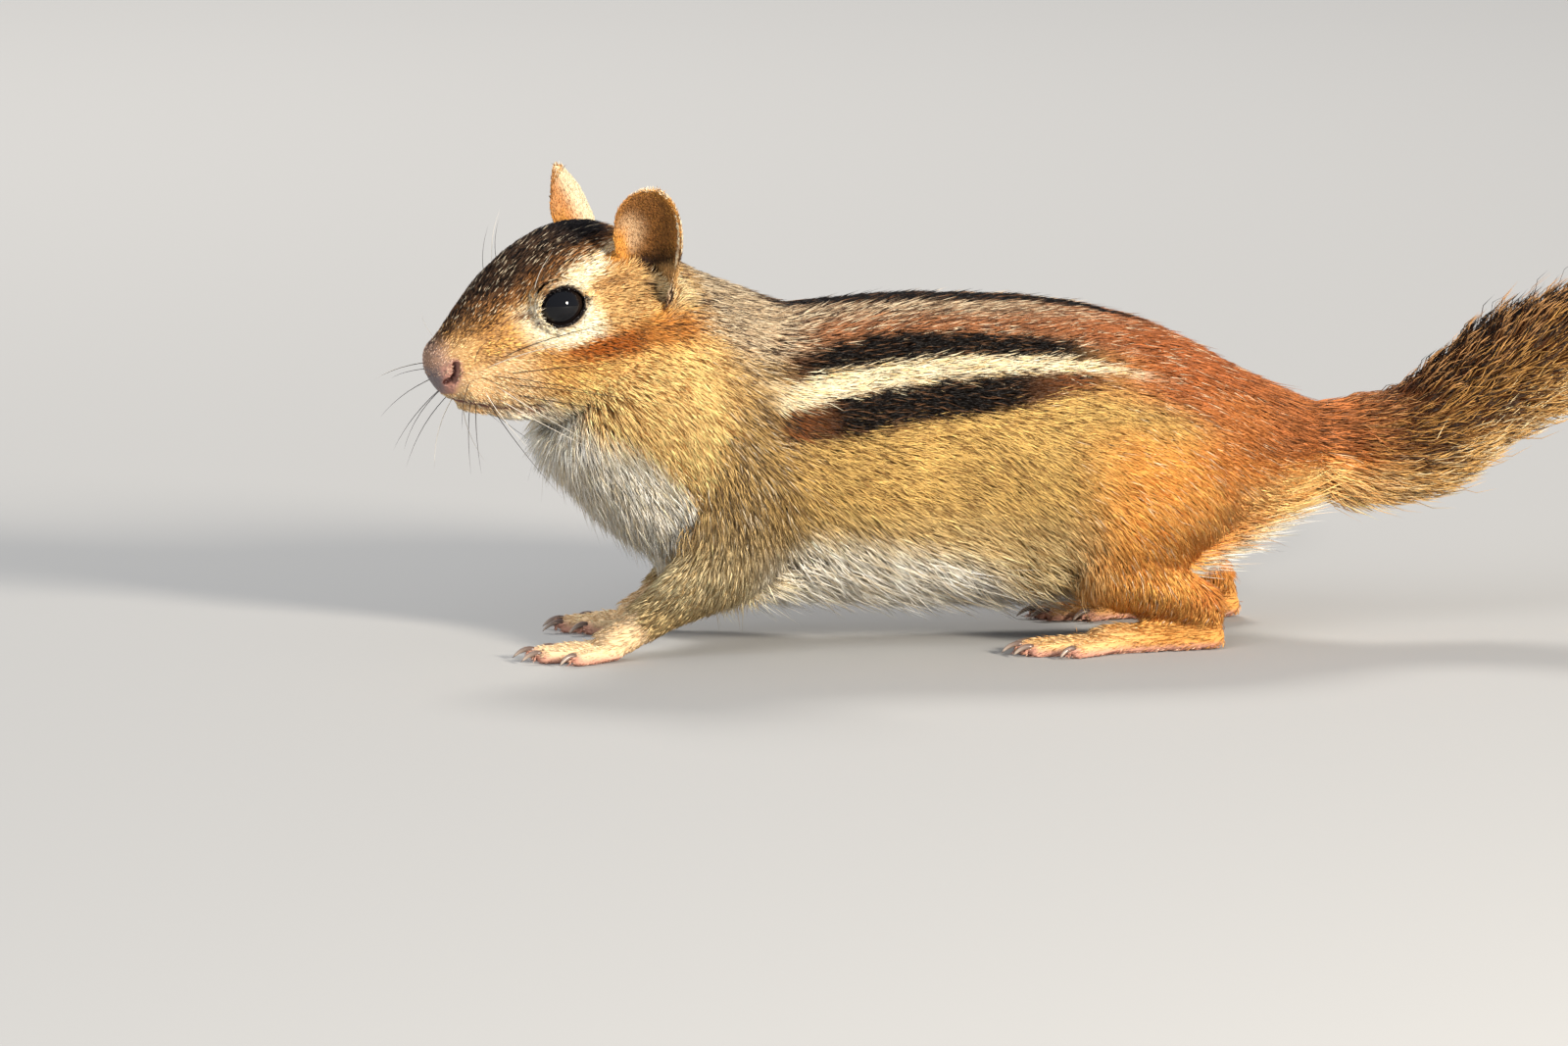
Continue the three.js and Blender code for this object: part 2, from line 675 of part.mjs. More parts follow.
// The tail's three lengths: the core, cut between two rows, with the locks that grow on each.
function tailNodes(core) {
  const nodes = [];
  let rest = core;
  let firstRow = 0;
  for (const rows of ROWS_IN_NODE) {
    let length = rest;
    if (firstRow + rows < LOCK_ROWS) {
      const { centre, tangent } = tail.frameAt(FIRST_ROW + ROW_STEP * (firstRow + rows - 0.42));
      [rest, length] = parted(rest, centre.toArray(), tangent.toArray());
    }
    nodes.push(largest(joined([length, ...tailLocks(firstRow, rows)])));
    firstRow += rows;
  }
  return nodes;
}

// The pieces, fused where they grow together and then parted with thin cuts

const materials = {
  coat: { color: 0xb98a4e, roughness: 0.85 },
  crown: { color: 0xa8763f, roughness: 0.85 },
  flank: { color: 0xb8793c, roughness: 0.85 },
  rump: { color: 0xb5652a, roughness: 0.85 },
  paw: { color: 0xd2a878, roughness: 0.75 },
  ear: { color: 0xb8763a, roughness: 0.7 },
  eye: { color: 0x0b0a0c, roughness: 0.05 },
  brush: { color: 0x7a5a34, roughness: 0.9 },
};

function pieces() {
  const whole = joined([headBall(), neckBody(), trunk()]);
  const [behindNeck, front] = parted(whole, [-21.5, 0, 36], [0.9, 0, -0.43]);
  const [neck, face] = parted(front, [-33.6, -1.6, 42.6], [0.83, 0.1, -0.55]);

  const made = {};
  const sides = [[LEFT, "left"], [RIGHT, "right"]];
  const onBoth = (make) => sides.map(([sign]) => make(sign));
  const swellings = [...onBoth(lids), ...onBoth(whiskerPad), alongMouth(0.95, 0.45, LIP)];
  const pits = [
    ...onBoth((sign) => eyeball(sign, GAP)),
    ...onBoth(nostril),
    ...onBoth(earCanal),
    alongMouth(0, 0, MOUTH_GROOVE),
    lipCleft(),
  ];
  const head = joined([face, ...swellings]).subtract(joined(pits));
  made.head = [largest(head), "crown"];
  for (const [sign, name] of sides) {
    made[`eye_${name}`] = [eyeball(sign), "eye"];
    made[`ear_${name}`] = [largest(ear(sign).subtract(headBall(GAP))), "ear"];
  }
  made.neck = [neck, "coat"];

  const sockets = [];
  for (const [sign, name] of sides) {
    const [foreArm, foreFoot] = foreLeg(sign);
    const [hindLimb, hindFoot] = hindLeg(sign);
    made[`front_leg_${name}`] = [foreArm, "coat"];
    made[`front_foot_${name}`] = [foreFoot, "paw"];
    made[`hind_leg_${name}`] = [hindLimb, "flank"];
    made[`hind_foot_${name}`] = [hindFoot, "paw"];
    sockets.push(foreLimb(sign, GAP), thigh(sign, GAP), shank(sign, GAP));
  }

  const root = tail.frameAt(TAIL_ROOT);
  const atRoot = [root.centre.toArray(), root.tangent.toArray()];
  const [core, bare] = parted(joined([behindNeck, tailCore()]), ...atRoot);
  made.torso = [largest(bare.subtract(joined(sockets))), "flank"];
  made.neck[0] = largest(neck.subtract(joined(sockets)));
  const [base, middle, tip] = tailNodes(core);
  made.tail_base = [parted(base, ...atRoot)[0], "brush"];
  made.tail_middle = [middle, "brush"];
  made.tail_tip = [tip, "brush"];
  return made;
}

function meshOf(name, [shape, finish]) {
  const { vertProperties, triVerts, numProp } = shape.getMesh();
  const points = [];
  for (let i = 0; i < vertProperties.length; i += numProp) {
    points.push(new THREE.Vector3().fromArray(vertProperties, i));
  }
  const geometry = new THREE.BufferGeometry().setFromPoints(points);
  geometry.setIndex(Array.from(triVerts));
  geometry.computeVertexNormals();
  const mesh = new THREE.Mesh(geometry, new THREE.MeshStandardMaterial(materials[finish]));
  mesh.name = name;
  return mesh;
}

const chipmunk = new THREE.Group();
for (const [name, piece] of Object.entries(pieces())) {
  chipmunk.add(meshOf(name, piece));
}
const bounds = new THREE.Box3().setFromObject(chipmunk);
const middle = bounds.getCenter(new THREE.Vector3());
chipmunk.position.set(-middle.x, -middle.y, 0);

export default chipmunk;
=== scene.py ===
import json
import math

import bpy
import numpy as np
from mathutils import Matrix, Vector
from mathutils.kdtree import KDTree

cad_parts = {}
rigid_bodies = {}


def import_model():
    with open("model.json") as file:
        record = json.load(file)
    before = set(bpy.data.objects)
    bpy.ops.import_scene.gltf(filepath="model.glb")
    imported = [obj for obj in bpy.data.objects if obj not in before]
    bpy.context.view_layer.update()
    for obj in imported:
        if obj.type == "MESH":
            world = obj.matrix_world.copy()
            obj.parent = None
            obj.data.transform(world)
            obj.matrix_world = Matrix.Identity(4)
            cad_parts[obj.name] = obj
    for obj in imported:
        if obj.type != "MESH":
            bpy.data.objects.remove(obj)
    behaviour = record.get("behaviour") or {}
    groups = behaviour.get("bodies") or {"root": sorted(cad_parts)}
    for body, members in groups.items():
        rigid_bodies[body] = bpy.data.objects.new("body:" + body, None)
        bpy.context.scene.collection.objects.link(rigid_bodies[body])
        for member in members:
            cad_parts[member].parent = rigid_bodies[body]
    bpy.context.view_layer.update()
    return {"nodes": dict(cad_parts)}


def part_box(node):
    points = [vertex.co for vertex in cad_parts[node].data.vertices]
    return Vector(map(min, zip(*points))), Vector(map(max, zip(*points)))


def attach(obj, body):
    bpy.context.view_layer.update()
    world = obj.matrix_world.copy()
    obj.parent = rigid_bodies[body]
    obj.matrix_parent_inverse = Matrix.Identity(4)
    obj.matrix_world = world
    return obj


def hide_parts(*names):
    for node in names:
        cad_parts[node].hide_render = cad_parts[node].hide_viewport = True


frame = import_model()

# The room: a wide round table top of pale paper, one warm lamp low on the right of the camera, a
# broad cool one high on the left, and a lamp behind for the edges of the fur.
TABLE_RADIUS = 9.0
PAPER = (0.40, 0.39, 0.375, 1)
WARM, COOL, NEUTRAL = (1.0, 0.93, 0.82), (0.9, 0.95, 1.0), (1.0, 0.97, 0.92)
SKY, SKY_STRENGTH = (0.80, 0.87, 1.0, 1), 0.45
LOOK_AT = Vector((-0.0537, -0.005, 0.01817))


def deselect():
    bpy.ops.object.select_all(action="DESELECT")


def table_top():
    deselect()
    bpy.ops.mesh.primitive_circle_add(vertices=96, radius=TABLE_RADIUS, fill_type="NGON")
    table = bpy.context.object
    table.name = "table_top"
    paper = bpy.data.materials.new("pale_paper")
    paper.use_nodes = True
    shader = paper.node_tree.nodes["Principled BSDF"]
    shader.inputs["Base Color"].default_value = PAPER
    shader.inputs["Roughness"].default_value = 0.9
    shader.inputs["Specular IOR Level"].default_value = 0.1
    table.data.materials.append(paper)
    return table


def window(name, place, size, watts, colour, in_reflections=False):
    lamp = bpy.data.lights.new(name, "AREA")
    lamp.shape = "ELLIPSE"
    lamp.size, lamp.size_y = size
    lamp.energy = watts
    lamp.color = colour
    holder = bpy.data.objects.new(name, lamp)
    bpy.context.scene.collection.objects.link(holder)
    holder.location = place
    holder.rotation_euler = (LOOK_AT - Vector(place)).to_track_quat("-Z", "Y").to_euler()
    holder.visible_glossy = in_reflections


table_top()
window("key_window", (0.72, -1.08, 0.46), (0.26, 0.26), 36.5, WARM, True)
window("fill_window", (-0.9, -1.3, 1.1), (1.5, 1.5), 20, COOL)
window("edge_lamp", (-0.2, 0.9, 0.9), (0.5, 0.3), 12, NEUTRAL)
world = bpy.data.worlds.new("room")
bpy.context.scene.world = world
world.use_nodes = True
world.node_tree.nodes["Background"].inputs["Color"].default_value = SKY
world.node_tree.nodes["Background"].inputs["Strength"].default_value = SKY_STRENGTH
bpy.context.scene.view_settings.view_transform = "Standard"

# The camera: three metres off on a long lens, a little above the animal and beside its tail, with
# the animal as large in the frame as in the photo.
AZIMUTH = math.radians(-8)
ELEVATION = math.radians(8)
DISTANCE = 3.0
PHOTO_WIDTH = 1600
SENSOR_WIDTH = 36.0
PIXELS_PER_METRE = 7000  # at the distance of the animal
camera = bpy.data.objects.new("camera", bpy.data.cameras.new("camera"))
bpy.context.scene.collection.objects.link(camera)
bpy.context.scene.camera = camera
level = math.cos(ELEVATION)
away = Vector((math.sin(AZIMUTH) * level, -math.cos(AZIMUTH) * level, math.sin(ELEVATION)))
camera.location = LOOK_AT + away * DISTANCE
camera.rotation_euler = (-away).to_track_quat("-Z", "Y").to_euler()
camera.data.sensor_width = SENSOR_WIDTH
camera.data.lens = PIXELS_PER_METRE * DISTANCE * SENSOR_WIDTH / PHOTO_WIDTH
camera.data.clip_start = 0.1
camera.data.clip_end = 20


# The head's own frame. Its places are in millimetres behind, above and to the side of the nose
# tip, and are found from the two eyeballs, which are set at the same place on either side of it.
MM = 0.001
HEAD_BOW = math.radians(20)  # how far the nose points below level
EYE_BEHIND, EYE_ABOVE = 19.5, 2.4
BOTH_SIDES = {"left": 1, "right": -1}  # the sign of a place on the head to the left or right


def eye_centre(side):
    low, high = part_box(f"eye_{side}")
    return (low + high) / 2


EYE_RADIUS = (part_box("eye_left")[1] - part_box("eye_left")[0]).z / 2
TO_LEFT = (eye_centre("left") - eye_centre("right")).normalized()
LEVEL_BACK = Vector((-TO_LEFT.y, TO_LEFT.x, 0)).normalized()
BACK = LEVEL_BACK * math.cos(HEAD_BOW) + Vector((0, 0, math.sin(HEAD_BOW)))
UP = TO_LEFT.cross(BACK)
BETWEEN_EYES = (eye_centre("left") + eye_centre("right")) / 2
NOSE_TIP = BETWEEN_EYES - BACK * EYE_BEHIND * MM - UP * EYE_ABOVE * MM
HEAD_AXES = np.array([BACK, UP, TO_LEFT])


def on_head(points):
    """Millimetres behind, above and to the left of the nose tip."""
    return (points - np.array(NOSE_TIP)) @ HEAD_AXES.T / MM


def from_head(places):
    return np.array(places, float) * MM @ HEAD_AXES + np.array(NOSE_TIP)


def turned_from_head(directions):
    return np.array(directions, float) @ HEAD_AXES


# The eyes: two wet, nearly black balls of glass with a low bulge in front, as a museum sets them.
# A dark brown iris shows only as a ring outside the wide pupil.
EYE_LOOK = (-0.3, 0.22, 0.93)
EYE_GLOSS = {"Roughness": 0.03, "IOR": 1.4}
CORNEA_RISE = 0.25 * MM
CORNEA_ANGLE = math.radians(40)
PUPIL_COSINE = math.cos(math.radians(33))
IRIS_COSINE = math.cos(math.radians(52))
IRIS_BROWN = (0.014, 0.008, 0.005, 1)
PUPIL_BLACK = (0.003, 0.003, 0.004, 1)


class Wire:
    """A socket of a finish, on which sums can be written."""

    def __init__(self, finish, socket):
        self.finish = finish
        self.socket = socket

    def maths(self, operation, first, second=0.0):
        return self.finish.node("ShaderNodeMath", {"operation": operation}, {0: first, 1: second})

    def __add__(self, other):
        return self.maths("ADD", self, other)

    def __radd__(self, other):
        return self.maths("ADD", other, self)

    def __sub__(self, other):
        return self.maths("SUBTRACT", self, other)

    def __rsub__(self, other):
        return self.maths("SUBTRACT", other, self)

    def __mul__(self, other):
        return self.maths("MULTIPLY", self, other)

    def __rmul__(self, other):
        return self.maths("MULTIPLY", other, self)

    def ramp(self, low, high):
        """From 0 at low to 1 at high, smoothly."""
        settings = {"interpolation_type": "SMOOTHSTEP"}
        return self.finish.node("ShaderNodeMapRange", settings, {0: self, 1: low, 2: high})


class Finish:
    """A material made of one shader and the nodes that feed it."""

    def __init__(self, name, constants):
        self.material = bpy.data.materials.new(name)
        self.material.use_nodes = True
        self.tree = self.material.node_tree
        self.shader = self.tree.nodes["Principled BSDF"]
        for socket, value in constants.items():
            self.shader.inputs[socket].default_value = value

    def node(self, kind, settings, inputs, output=0):
        made = self.tree.nodes.new(kind)
        for name, value in settings.items():
            setattr(made, name, value)
        for socket, value in inputs.items():
            if isinstance(value, Wire):
                self.tree.links.new(value.socket, made.inputs[socket])
            else:
                made.inputs[socket].default_value = value
        return Wire(self, made.outputs[output])

    def feed(self, socket, wire):
        self.tree.links.new(wire.socket, self.shader.inputs[socket])

    def mixed(self, share, first, second):
        """One colour turning into another as share goes from 0 to 1."""
        inputs = {0: share, 6: first, 7: second}
        return self.node("ShaderNodeMix", {"data_type": "RGBA"}, inputs, output=2)

    def place(self):
        return self.node("ShaderNodeTexCoord", {}, {}, output="Object")

    def attribute(self, name):
        return self.node("ShaderNodeAttribute", {"attribute_name": name}, {}, output="Color")


def eye_look(side):
    along, up, out = EYE_LOOK
    return turned_from_head([along, up, out * BOTH_SIDES[side]])


def wet_eye(side):
    finish = Finish(f"wet_eye_{side}", EYE_GLOSS)

    def vector_maths(operation, inputs, output=0):
        return finish.node("ShaderNodeVectorMath", {"operation": operation}, inputs, output)

    ray = vector_maths("SUBTRACT", {0: finish.place(), 1: eye_centre(side)})
    ray = vector_maths("NORMALIZE", {0: ray})
    ahead = vector_maths("DOT_PRODUCT", {0: ray, 1: eye_look(side)}, output="Value")
    iris = finish.mixed(ahead.ramp(IRIS_COSINE, PUPIL_COSINE), IRIS_BROWN, PUPIL_BLACK)
    finish.feed("Base Color", iris)
    return finish.material


def eye(side):
    deselect()
    bpy.ops.mesh.primitive_uv_sphere_add(segments=64, ring_count=40, radius=EYE_RADIUS)
    ball = bpy.context.object
    ball.name = f"glass_eye_{side}"
    look = Vector(eye_look(side)).normalized()
    for vertex in ball.data.vertices:
        from_pole = min(1.0, vertex.co.angle(look) / CORNEA_ANGLE)
        rise = CORNEA_RISE * max(0.0, math.cos(0.5 * math.pi * from_pole)) ** 1.5
        vertex.co *= 1 + rise / EYE_RADIUS
        vertex.co += eye_centre(side)
    bpy.ops.object.shade_smooth()
    ball.data.materials.append(wet_eye(side))
    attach(ball, "root")
    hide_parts(f"eye_{side}")


for side in BOTH_SIDES:
    eye(side)


# The skin: one closed surface under the whole coat, from the nose to the tail and the toes. It is
# grown over the flesh of every part, smoothed, and sunk below the outline by the coat's depth.
VOXEL = 0.28 * MM
GAP_CLOSING = 0.22 * MM
SKIN_SHARE = 0.25  # of the grown surface's points that are kept to sow the coat on
SHARE_UNDER_COAT = 0.74  # of those points that the skin keeps when the coat is on
FLESH = [node for node in frame["nodes"] if not node.startswith(("eye", "tail"))]

# The tail's line: each joint's place and how far its hair reaches to the side and up.
TAIL_LINE = [
    (16.5, 0.0, 27.6, 5.5, 6.4),
    (24.5, 0.0, 27.8, 7.4, 8.5),
    (33.5, 0.4, 26.6, 8.3, 9.3),
    (40.8, 0.8, 28.7, 9.0, 9.9),
    (48.0, 1.3, 33.4, 9.2, 10.3),
    (55.2, 1.8, 37.7, 9.2, 10.1),
    (62.4, 2.4, 40.8, 9.0, 9.7),
    (73.5, 3.6, 44.2, 8.8, 9.4),
    (85.5, 5.2, 48.8, 8.2, 8.6),
    (96.5, 7.0, 54.4, 6.0, 6.4),
    (105.5, 8.8, 60.4, 1.6, 1.8),
]
TAIL_CORE = 0.3  # the flesh of the tail, as a share of the hair's reach
TAIL_CORE_SEEN = 0.4  # the share of that reach that is told apart from the rump
TAIL_NARROWS = (25.0, 50.0)  # where the rump narrows down to that


def copied_nodes(names):
    deselect()
    for name in names:
        source = frame["nodes"][name]
        copy = bpy.data.objects.new(f"flesh_{name}", source.data.copy())
        bpy.context.scene.collection.objects.link(copy)
        copy.select_set(True)
        bpy.context.view_layer.objects.active = copy
    bpy.ops.object.join()
    return bpy.context.object


def tail_core(x):
    """The flesh of the tail at a place along it, as a share of the hair's reach."""
    return np.interp(x, TAIL_NARROWS, (1.0, TAIL_CORE))


def tail_flesh():
    """Adds the tail's flesh as a tube, and leaves it selected."""
    path = bpy.data.curves.new("tail_flesh", "CURVE")
    path.dimensions = "3D"
    path.bevel_depth = 1.0 * MM
    path.bevel_resolution = 6
    path.use_fill_caps = True
    line = path.splines.new("NURBS")
    line.points.add(len(TAIL_LINE) - 1)
    line.order_u = 4
    line.use_endpoint_u = True
    for point, (x, y, z, half, deep) in zip(line.points, TAIL_LINE):
        point.co = (x * MM, y * MM, z * MM, 1)
        point.radius = tail_core(x) * (half + deep) / 2
    tube = bpy.data.objects.new("tail_flesh", path)
    bpy.context.scene.collection.objects.link(tube)
    deselect()
    tube.select_set(True)
    bpy.context.view_layer.objects.active = tube
    bpy.ops.object.convert(target="MESH")


def applied(piece, kind, **settings):
    modifier = piece.modifiers.new(kind, kind)
    for name, value in settings.items():
        setattr(modifier, name, value)
    bpy.context.view_layer.objects.active = piece
    bpy.ops.object.modifier_apply(modifier=modifier.name)


def read(items, what, width, kind=float):
    """What is asked of each item of a mesh, as one row of an array for each."""
    flat = np.empty(len(items) * width, kind)
    items.foreach_get(what, flat)
    return flat.reshape(-1, width)


def coordinates(mesh):
    return read(mesh.vertices, "co", 3)


def normals(mesh):
    return read(mesh.vertices, "normal", 3)


def edited(piece, kind, mask):
    """Opens the piece for editing, with only the points or faces of the mask selected."""
    deselect()
    piece.select_set(True)
    bpy.context.view_layer.objects.active = piece
    bpy.ops.object.mode_set(mode="EDIT")
    bpy.ops.mesh.select_mode(type=kind)
    bpy.ops.mesh.select_all(action="DESELECT")
    bpy.ops.object.mode_set(mode="OBJECT")
    items = piece.data.vertices if kind == "VERT" else piece.data.polygons
    items.foreach_set("select", mask)
    bpy.ops.object.mode_set(mode="EDIT")


def keep_largest(piece):
    """Leaves only the closed surface that the front end of the piece belongs to."""
    along = coordinates(piece.data)[:, 0]
    edited(piece, "VERT", np.arange(len(along)) == along.argmin())
    bpy.ops.mesh.select_linked()
    bpy.ops.mesh.select_all(action="INVERT")
    bpy.ops.mesh.delete(type="VERT")
    bpy.ops.object.mode_set(mode="OBJECT")


def tree_of(points):
    tree = KDTree(len(points))
    for i, point in enumerate(points):
        tree.insert(point, i)
    tree.balance()
    return tree


def unit(vectors):
    return vectors / np.maximum(np.linalg.norm(vectors, axis=-1, keepdims=True), 1e-12)


def step(value, low, high):
    """A smooth step from 0 at low to 1 at high."""
    share = np.clip((value - low) / (high - low), 0, 1)
    return share * share * (3 - 2 * share)


def near(points, place, reach):
    """From 1 at a place on both sides of the head down to 0 at that distance from it."""
    u, v, w = on_head(points).T
    away = np.sqrt((u - place[0]) ** 2 + (v - place[1]) ** 2 + (np.abs(w) - place[2]) ** 2)
    return 1 - step(away, 0.35 * reach, reach)


PARTS = ["head", "neck", "torso", "front_leg", "hind_leg", "front_foot", "hind_foot", "ear", "tail"]


def nearest_parts(points):
    """The part of the body that each point lies on."""
    marked = []
    for name in FLESH:
        part = next(i for i, part in enumerate(PARTS) if name.startswith(part))
        mesh = frame["nodes"][name].data
        marked += [(point, part) for point in np.unique(coordinates(mesh).round(6), axis=0)]
    line = np.array(TAIL_LINE) * MM
    for share in np.linspace(1, len(line) - 1, 60):
        here = [np.interp(share, range(len(line)), line[:, axis]) for axis in range(5)]
        for angle in np.linspace(0, 2 * math.pi, 8, endpoint=False):
            across, up = TAIL_CORE_SEEN * here[3], TAIL_CORE_SEEN * here[4]
            ring = (0, across * math.cos(angle), up * math.sin(angle))
            marked.append((np.add(here[:3], ring), PARTS.index("tail")))
    tree = tree_of([point for point, part in marked])
    parts = np.array([part for point, part in marked])
    return parts[[tree.find(point)[1] for point in points]]


flesh = copied_nodes(FLESH)
tail_flesh()
flesh.select_set(True)
bpy.context.view_layer.objects.active = flesh
bpy.ops.object.join()
skin = bpy.context.object
skin.name = "skin"
bpy.ops.object.mode_set(mode="EDIT")
bpy.ops.mesh.select_all(action="SELECT")
bpy.ops.mesh.remove_doubles(threshold=1e-6)
bpy.ops.object.mode_set(mode="OBJECT")
applied(skin, "DISPLACE", strength=GAP_CLOSING, mid_level=0)
applied(skin, "REMESH", mode="VOXEL", voxel_size=VOXEL)
keep_largest(skin)

EYE_PLACE = (EYE_BEHIND, EYE_ABOVE, 8.3)
NOSE_AND_LIPS = [(1, -1, 0), (2, -2.5, 3), (4, -7, 3), (9, -10, 5)]
grown = coordinates(skin.data)
part_of = nearest_parts(grown)


def on_parts(*names):
    return np.isin(part_of, [PARTS.index(name) for name in names]) * 1.0


fine = on_parts("ear", "front_foot", "hind_foot")
fine = np.maximum(fine, near(grown, EYE_PLACE, 8.5))
for place in NOSE_AND_LIPS:
    fine = np.maximum(fine, near(grown, place, 5))


def weighted(piece, name, weights):
    group = piece.vertex_groups.new(name=name)
    levels = np.round(np.clip(weights, 0, 1) * 10).astype(int)
    for level in range(1, 11):
        members = np.flatnonzero(levels == level)
        group.add([int(i) for i in members], level / 10, "REPLACE")
    return name


def subdivided(piece, mask):
    """Divides the faces of the piece whose points are all in the mask."""
    edited(piece, "VERT", mask)
    bpy.ops.mesh.subdivide(number_cuts=1)
    bpy.ops.object.mode_set(mode="OBJECT")


def moved(piece, points):
    piece.data.vertices.foreach_set("co", points.ravel())
    piece.data.update()


def smoothed(piece, group, iterations, factor=0.6):
    applied(piece, "SMOOTH", factor=factor, iterations=iterations, vertex_group=group)


def thinned(piece, share):
    """Leaves this share of the faces, and takes the others from where they matter least."""
    applied(piece, "DECIMATE", ratio=share, vertex_group=coarse, vertex_group_factor=1.5)


coarse = weighted(skin, "coarse", 1 - fine)
smoothed(skin, "", 3, factor=0.5)
smoothed(skin, coarse, 30)
thinned(skin, SKIN_SHARE)
grown = coordinates(skin.data)
part_of = nearest_parts(grown)
behind = on_head(grown)[:, 0]
height = grown[:, 2] / MM
along_body = grown[:, 0] / MM
blending = on_parts("torso", "neck") * (1 - 0.7 * step(along_body, 10, 18))
blending += on_parts("tail") * 0.15
blending += on_parts("head") * step(behind, 26, 38)
blending += on_parts("hind_leg") * (0.9 - 0.4 * step(height, 12, 20))
blending += on_parts("hind_foot") * np.maximum(step(height, 2.5, 5), 0.6 * step(along_body, 3, 9))
blending += on_parts("front_leg") * (0.4 + 0.6 * step(height, 8, 18))
broad = weighted(skin, "broad", blending)
smoothed(skin, broad, 110)

# The face is given its folds: lids drawn to a point at both corners of the eye, and nostrils
# shaped like a comma. Both need more points than the rest of the skin.
LID_SIZE = (3.0, 2.6)  # half the opening between the lids, along and across it
LID_PLACE = (0.2, -0.35)  # its middle, back and up from the middle of the eye
LID_CORNERS = [(-4.7, -0.9), (0.0, 0.0), (4.1, -0.1)]  # the dark line of the lids
CORNERS_FROM = 2.2  # how far from the middle the round lids turn into that line
LID_RIM = 0.4  # how wide the bare black edge of the lids is
RING_RADIUS = 3.45  # of the flesh round the eye, which is drawn in to the lids
LID_COVER = EYE_RADIUS / MM + 0.14  # from the middle of the eye to the skin of the lids
GROOVE = (3.1, 5.6)  # where the groove round the lids starts and ends, from the eye's middle
NOSTRIL = [(2.9, -0.6), (2.6, -1.9), (2.0, -2.7), (1.1, -2.8)]
NOSTRIL_WIDTH, NOSTRIL_DEPTH = 0.55, 0.8


def eye_view(points, side):
    """Millimetres back, up and out from the middle of the eye, and the three axes of that."""
    look = unit(eye_look(side))
    back = unit(HEAD_AXES[0] - look * (HEAD_AXES[0] @ look))
    over = np.cross(look, back) * BOTH_SIDES[side]
    axes = np.array([back, over if over[2] > 0 else -over, look])
    return (points - np.array(eye_centre(side))) @ axes.T / MM, axes


def from_eye_view(seen, axes, side):
    return (seen * MM) @ axes + np.array(eye_centre(side))


def with_lids(points):
    """Draws the round ring of flesh in to the lids, and lays them on the ball."""
    for side in BOTH_SIDES:
        seen, axes = eye_view(points, side)
        before = np.linalg.norm(seen, axis=1)
        radial = np.hypot(seen[:, 0], seen[:, 1])
        near_eye = (1 - step(radial, 4.6, 8.0)) * (seen[:, 2] > -2) * (before < 9)
        for axis in (0, 1):
            seen[:, axis] *= 1 + (LID_SIZE[axis] / RING_RADIUS - 1) * near_eye
            seen[:, axis] += LID_PLACE[axis] * near_eye
        after = np.linalg.norm(seen, axis=1)
        changed = near_eye > 0
        outside_ball = before > EYE_RADIUS / MM - 0.05
        low = changed & outside_ball & (after < LID_COVER) & (seen[:, 2] > -1.5)
        seen[low] *= (LID_COVER / after[low])[:, None]
        points[changed] = from_eye_view(seen[changed], axes, side)
    return points


def from_line(across, up, line):
    """How far places are from a line of straight pieces, both in the same two measures."""
    best = np.full(len(across), 1e9)
    for (x0, y0), (x1, y1) in zip(line, line[1:]):
        span = (x1 - x0) ** 2 + (y1 - y0) ** 2
        share = np.clip(((across - x0) * (x1 - x0) + (up - y0) * (y1 - y0)) / span, 0, 1)
        away = np.hypot(across - x0 - share * (x1 - x0), up - y0 - share * (y1 - y0))
        best = np.minimum(best, away)
    return best


def lid_edge(points):
    """How far a place on the face is outside the opening between the lids, in millimetres."""
    best = np.full(len(points), 99.0)
    for side in BOTH_SIDES:
        seen = eye_view(points, side)[0]
        back, over, out = (seen - [LID_PLACE[0], LID_PLACE[1], 0]).T
        oval = (np.hypot(back / LID_SIZE[0], over / LID_SIZE[1]) - 1) * LID_SIZE[1]
        narrowing = np.maximum(np.abs(back) - 2.6, 0) * 0.25 - 0.08
        corner = from_line(back, over, LID_CORNERS) + narrowing
        here = np.minimum(oval, np.where(np.abs(back) > CORNERS_FROM, corner, 9))
        here = np.where((out > -1.5) & (out < 6), here, 99)
        best = np.minimum(best, here)
    return best


def over_eyes(points):
    """Lifts the smoothed skin round the lids clear of the eyeballs, without an edge."""
    outside = lid_edge(points) > 0.1
    for side in BOTH_SIDES:
        seen, axes = eye_view(points, side)
        away = np.linalg.norm(seen, axis=1)
        low = outside & (away > 0.6 * LID_COVER) & (away < LID_COVER + 1.5) & (seen[:, 2] > -1.2)
        lifted = LID_COVER + 0.2 * np.log1p(np.exp((away[low] - LID_COVER) / 0.2))
        seen[low] *= (lifted / away[low])[:, None]
        points[low] = from_eye_view(seen[low], axes, side)
    return points


def filled_round_eyes(points, facing):
    """Fills the groove round the lids with a slope from them to the face, in both its layers."""
    inner, outer = GROOVE
    lid_level = math.sqrt(LID_COVER**2 - inner**2)
    for side in BOTH_SIDES:
        seen, axes = eye_view(points, side)
        radial = np.hypot(seen[:, 0], seen[:, 1])
        turn = np.arctan2(seen[:, 1], seen[:, 0])
        on_face = (np.abs(radial - outer) < 0.4) & (seen[:, 2] > -4) & (seen[:, 2] < 5)
        order = np.argsort(turn[on_face])
        face_turn, face_level = turn[on_face][order], seen[on_face, 2][order]
        level = np.interp(turn, face_turn, face_level, period=2 * math.pi)
        share = np.clip((radial - inner) / (outer - inner), 0, 1)
        slope = lid_level + (level - lid_level) * share
        underneath = (facing * unit(seen @ axes)).sum(1) < -0.1
        slope = np.where(underneath, slope - 0.15, slope)
        chosen = (radial > inner) & (radial < outer) & (lid_edge(points) > 0.2)
        chosen &= (seen[:, 2] > -1.5) & (seen[:, 2] < slope)
        seen[chosen, 2] = slope[chosen]
        points[chosen] = from_eye_view(seen[chosen], axes, side)
    return points


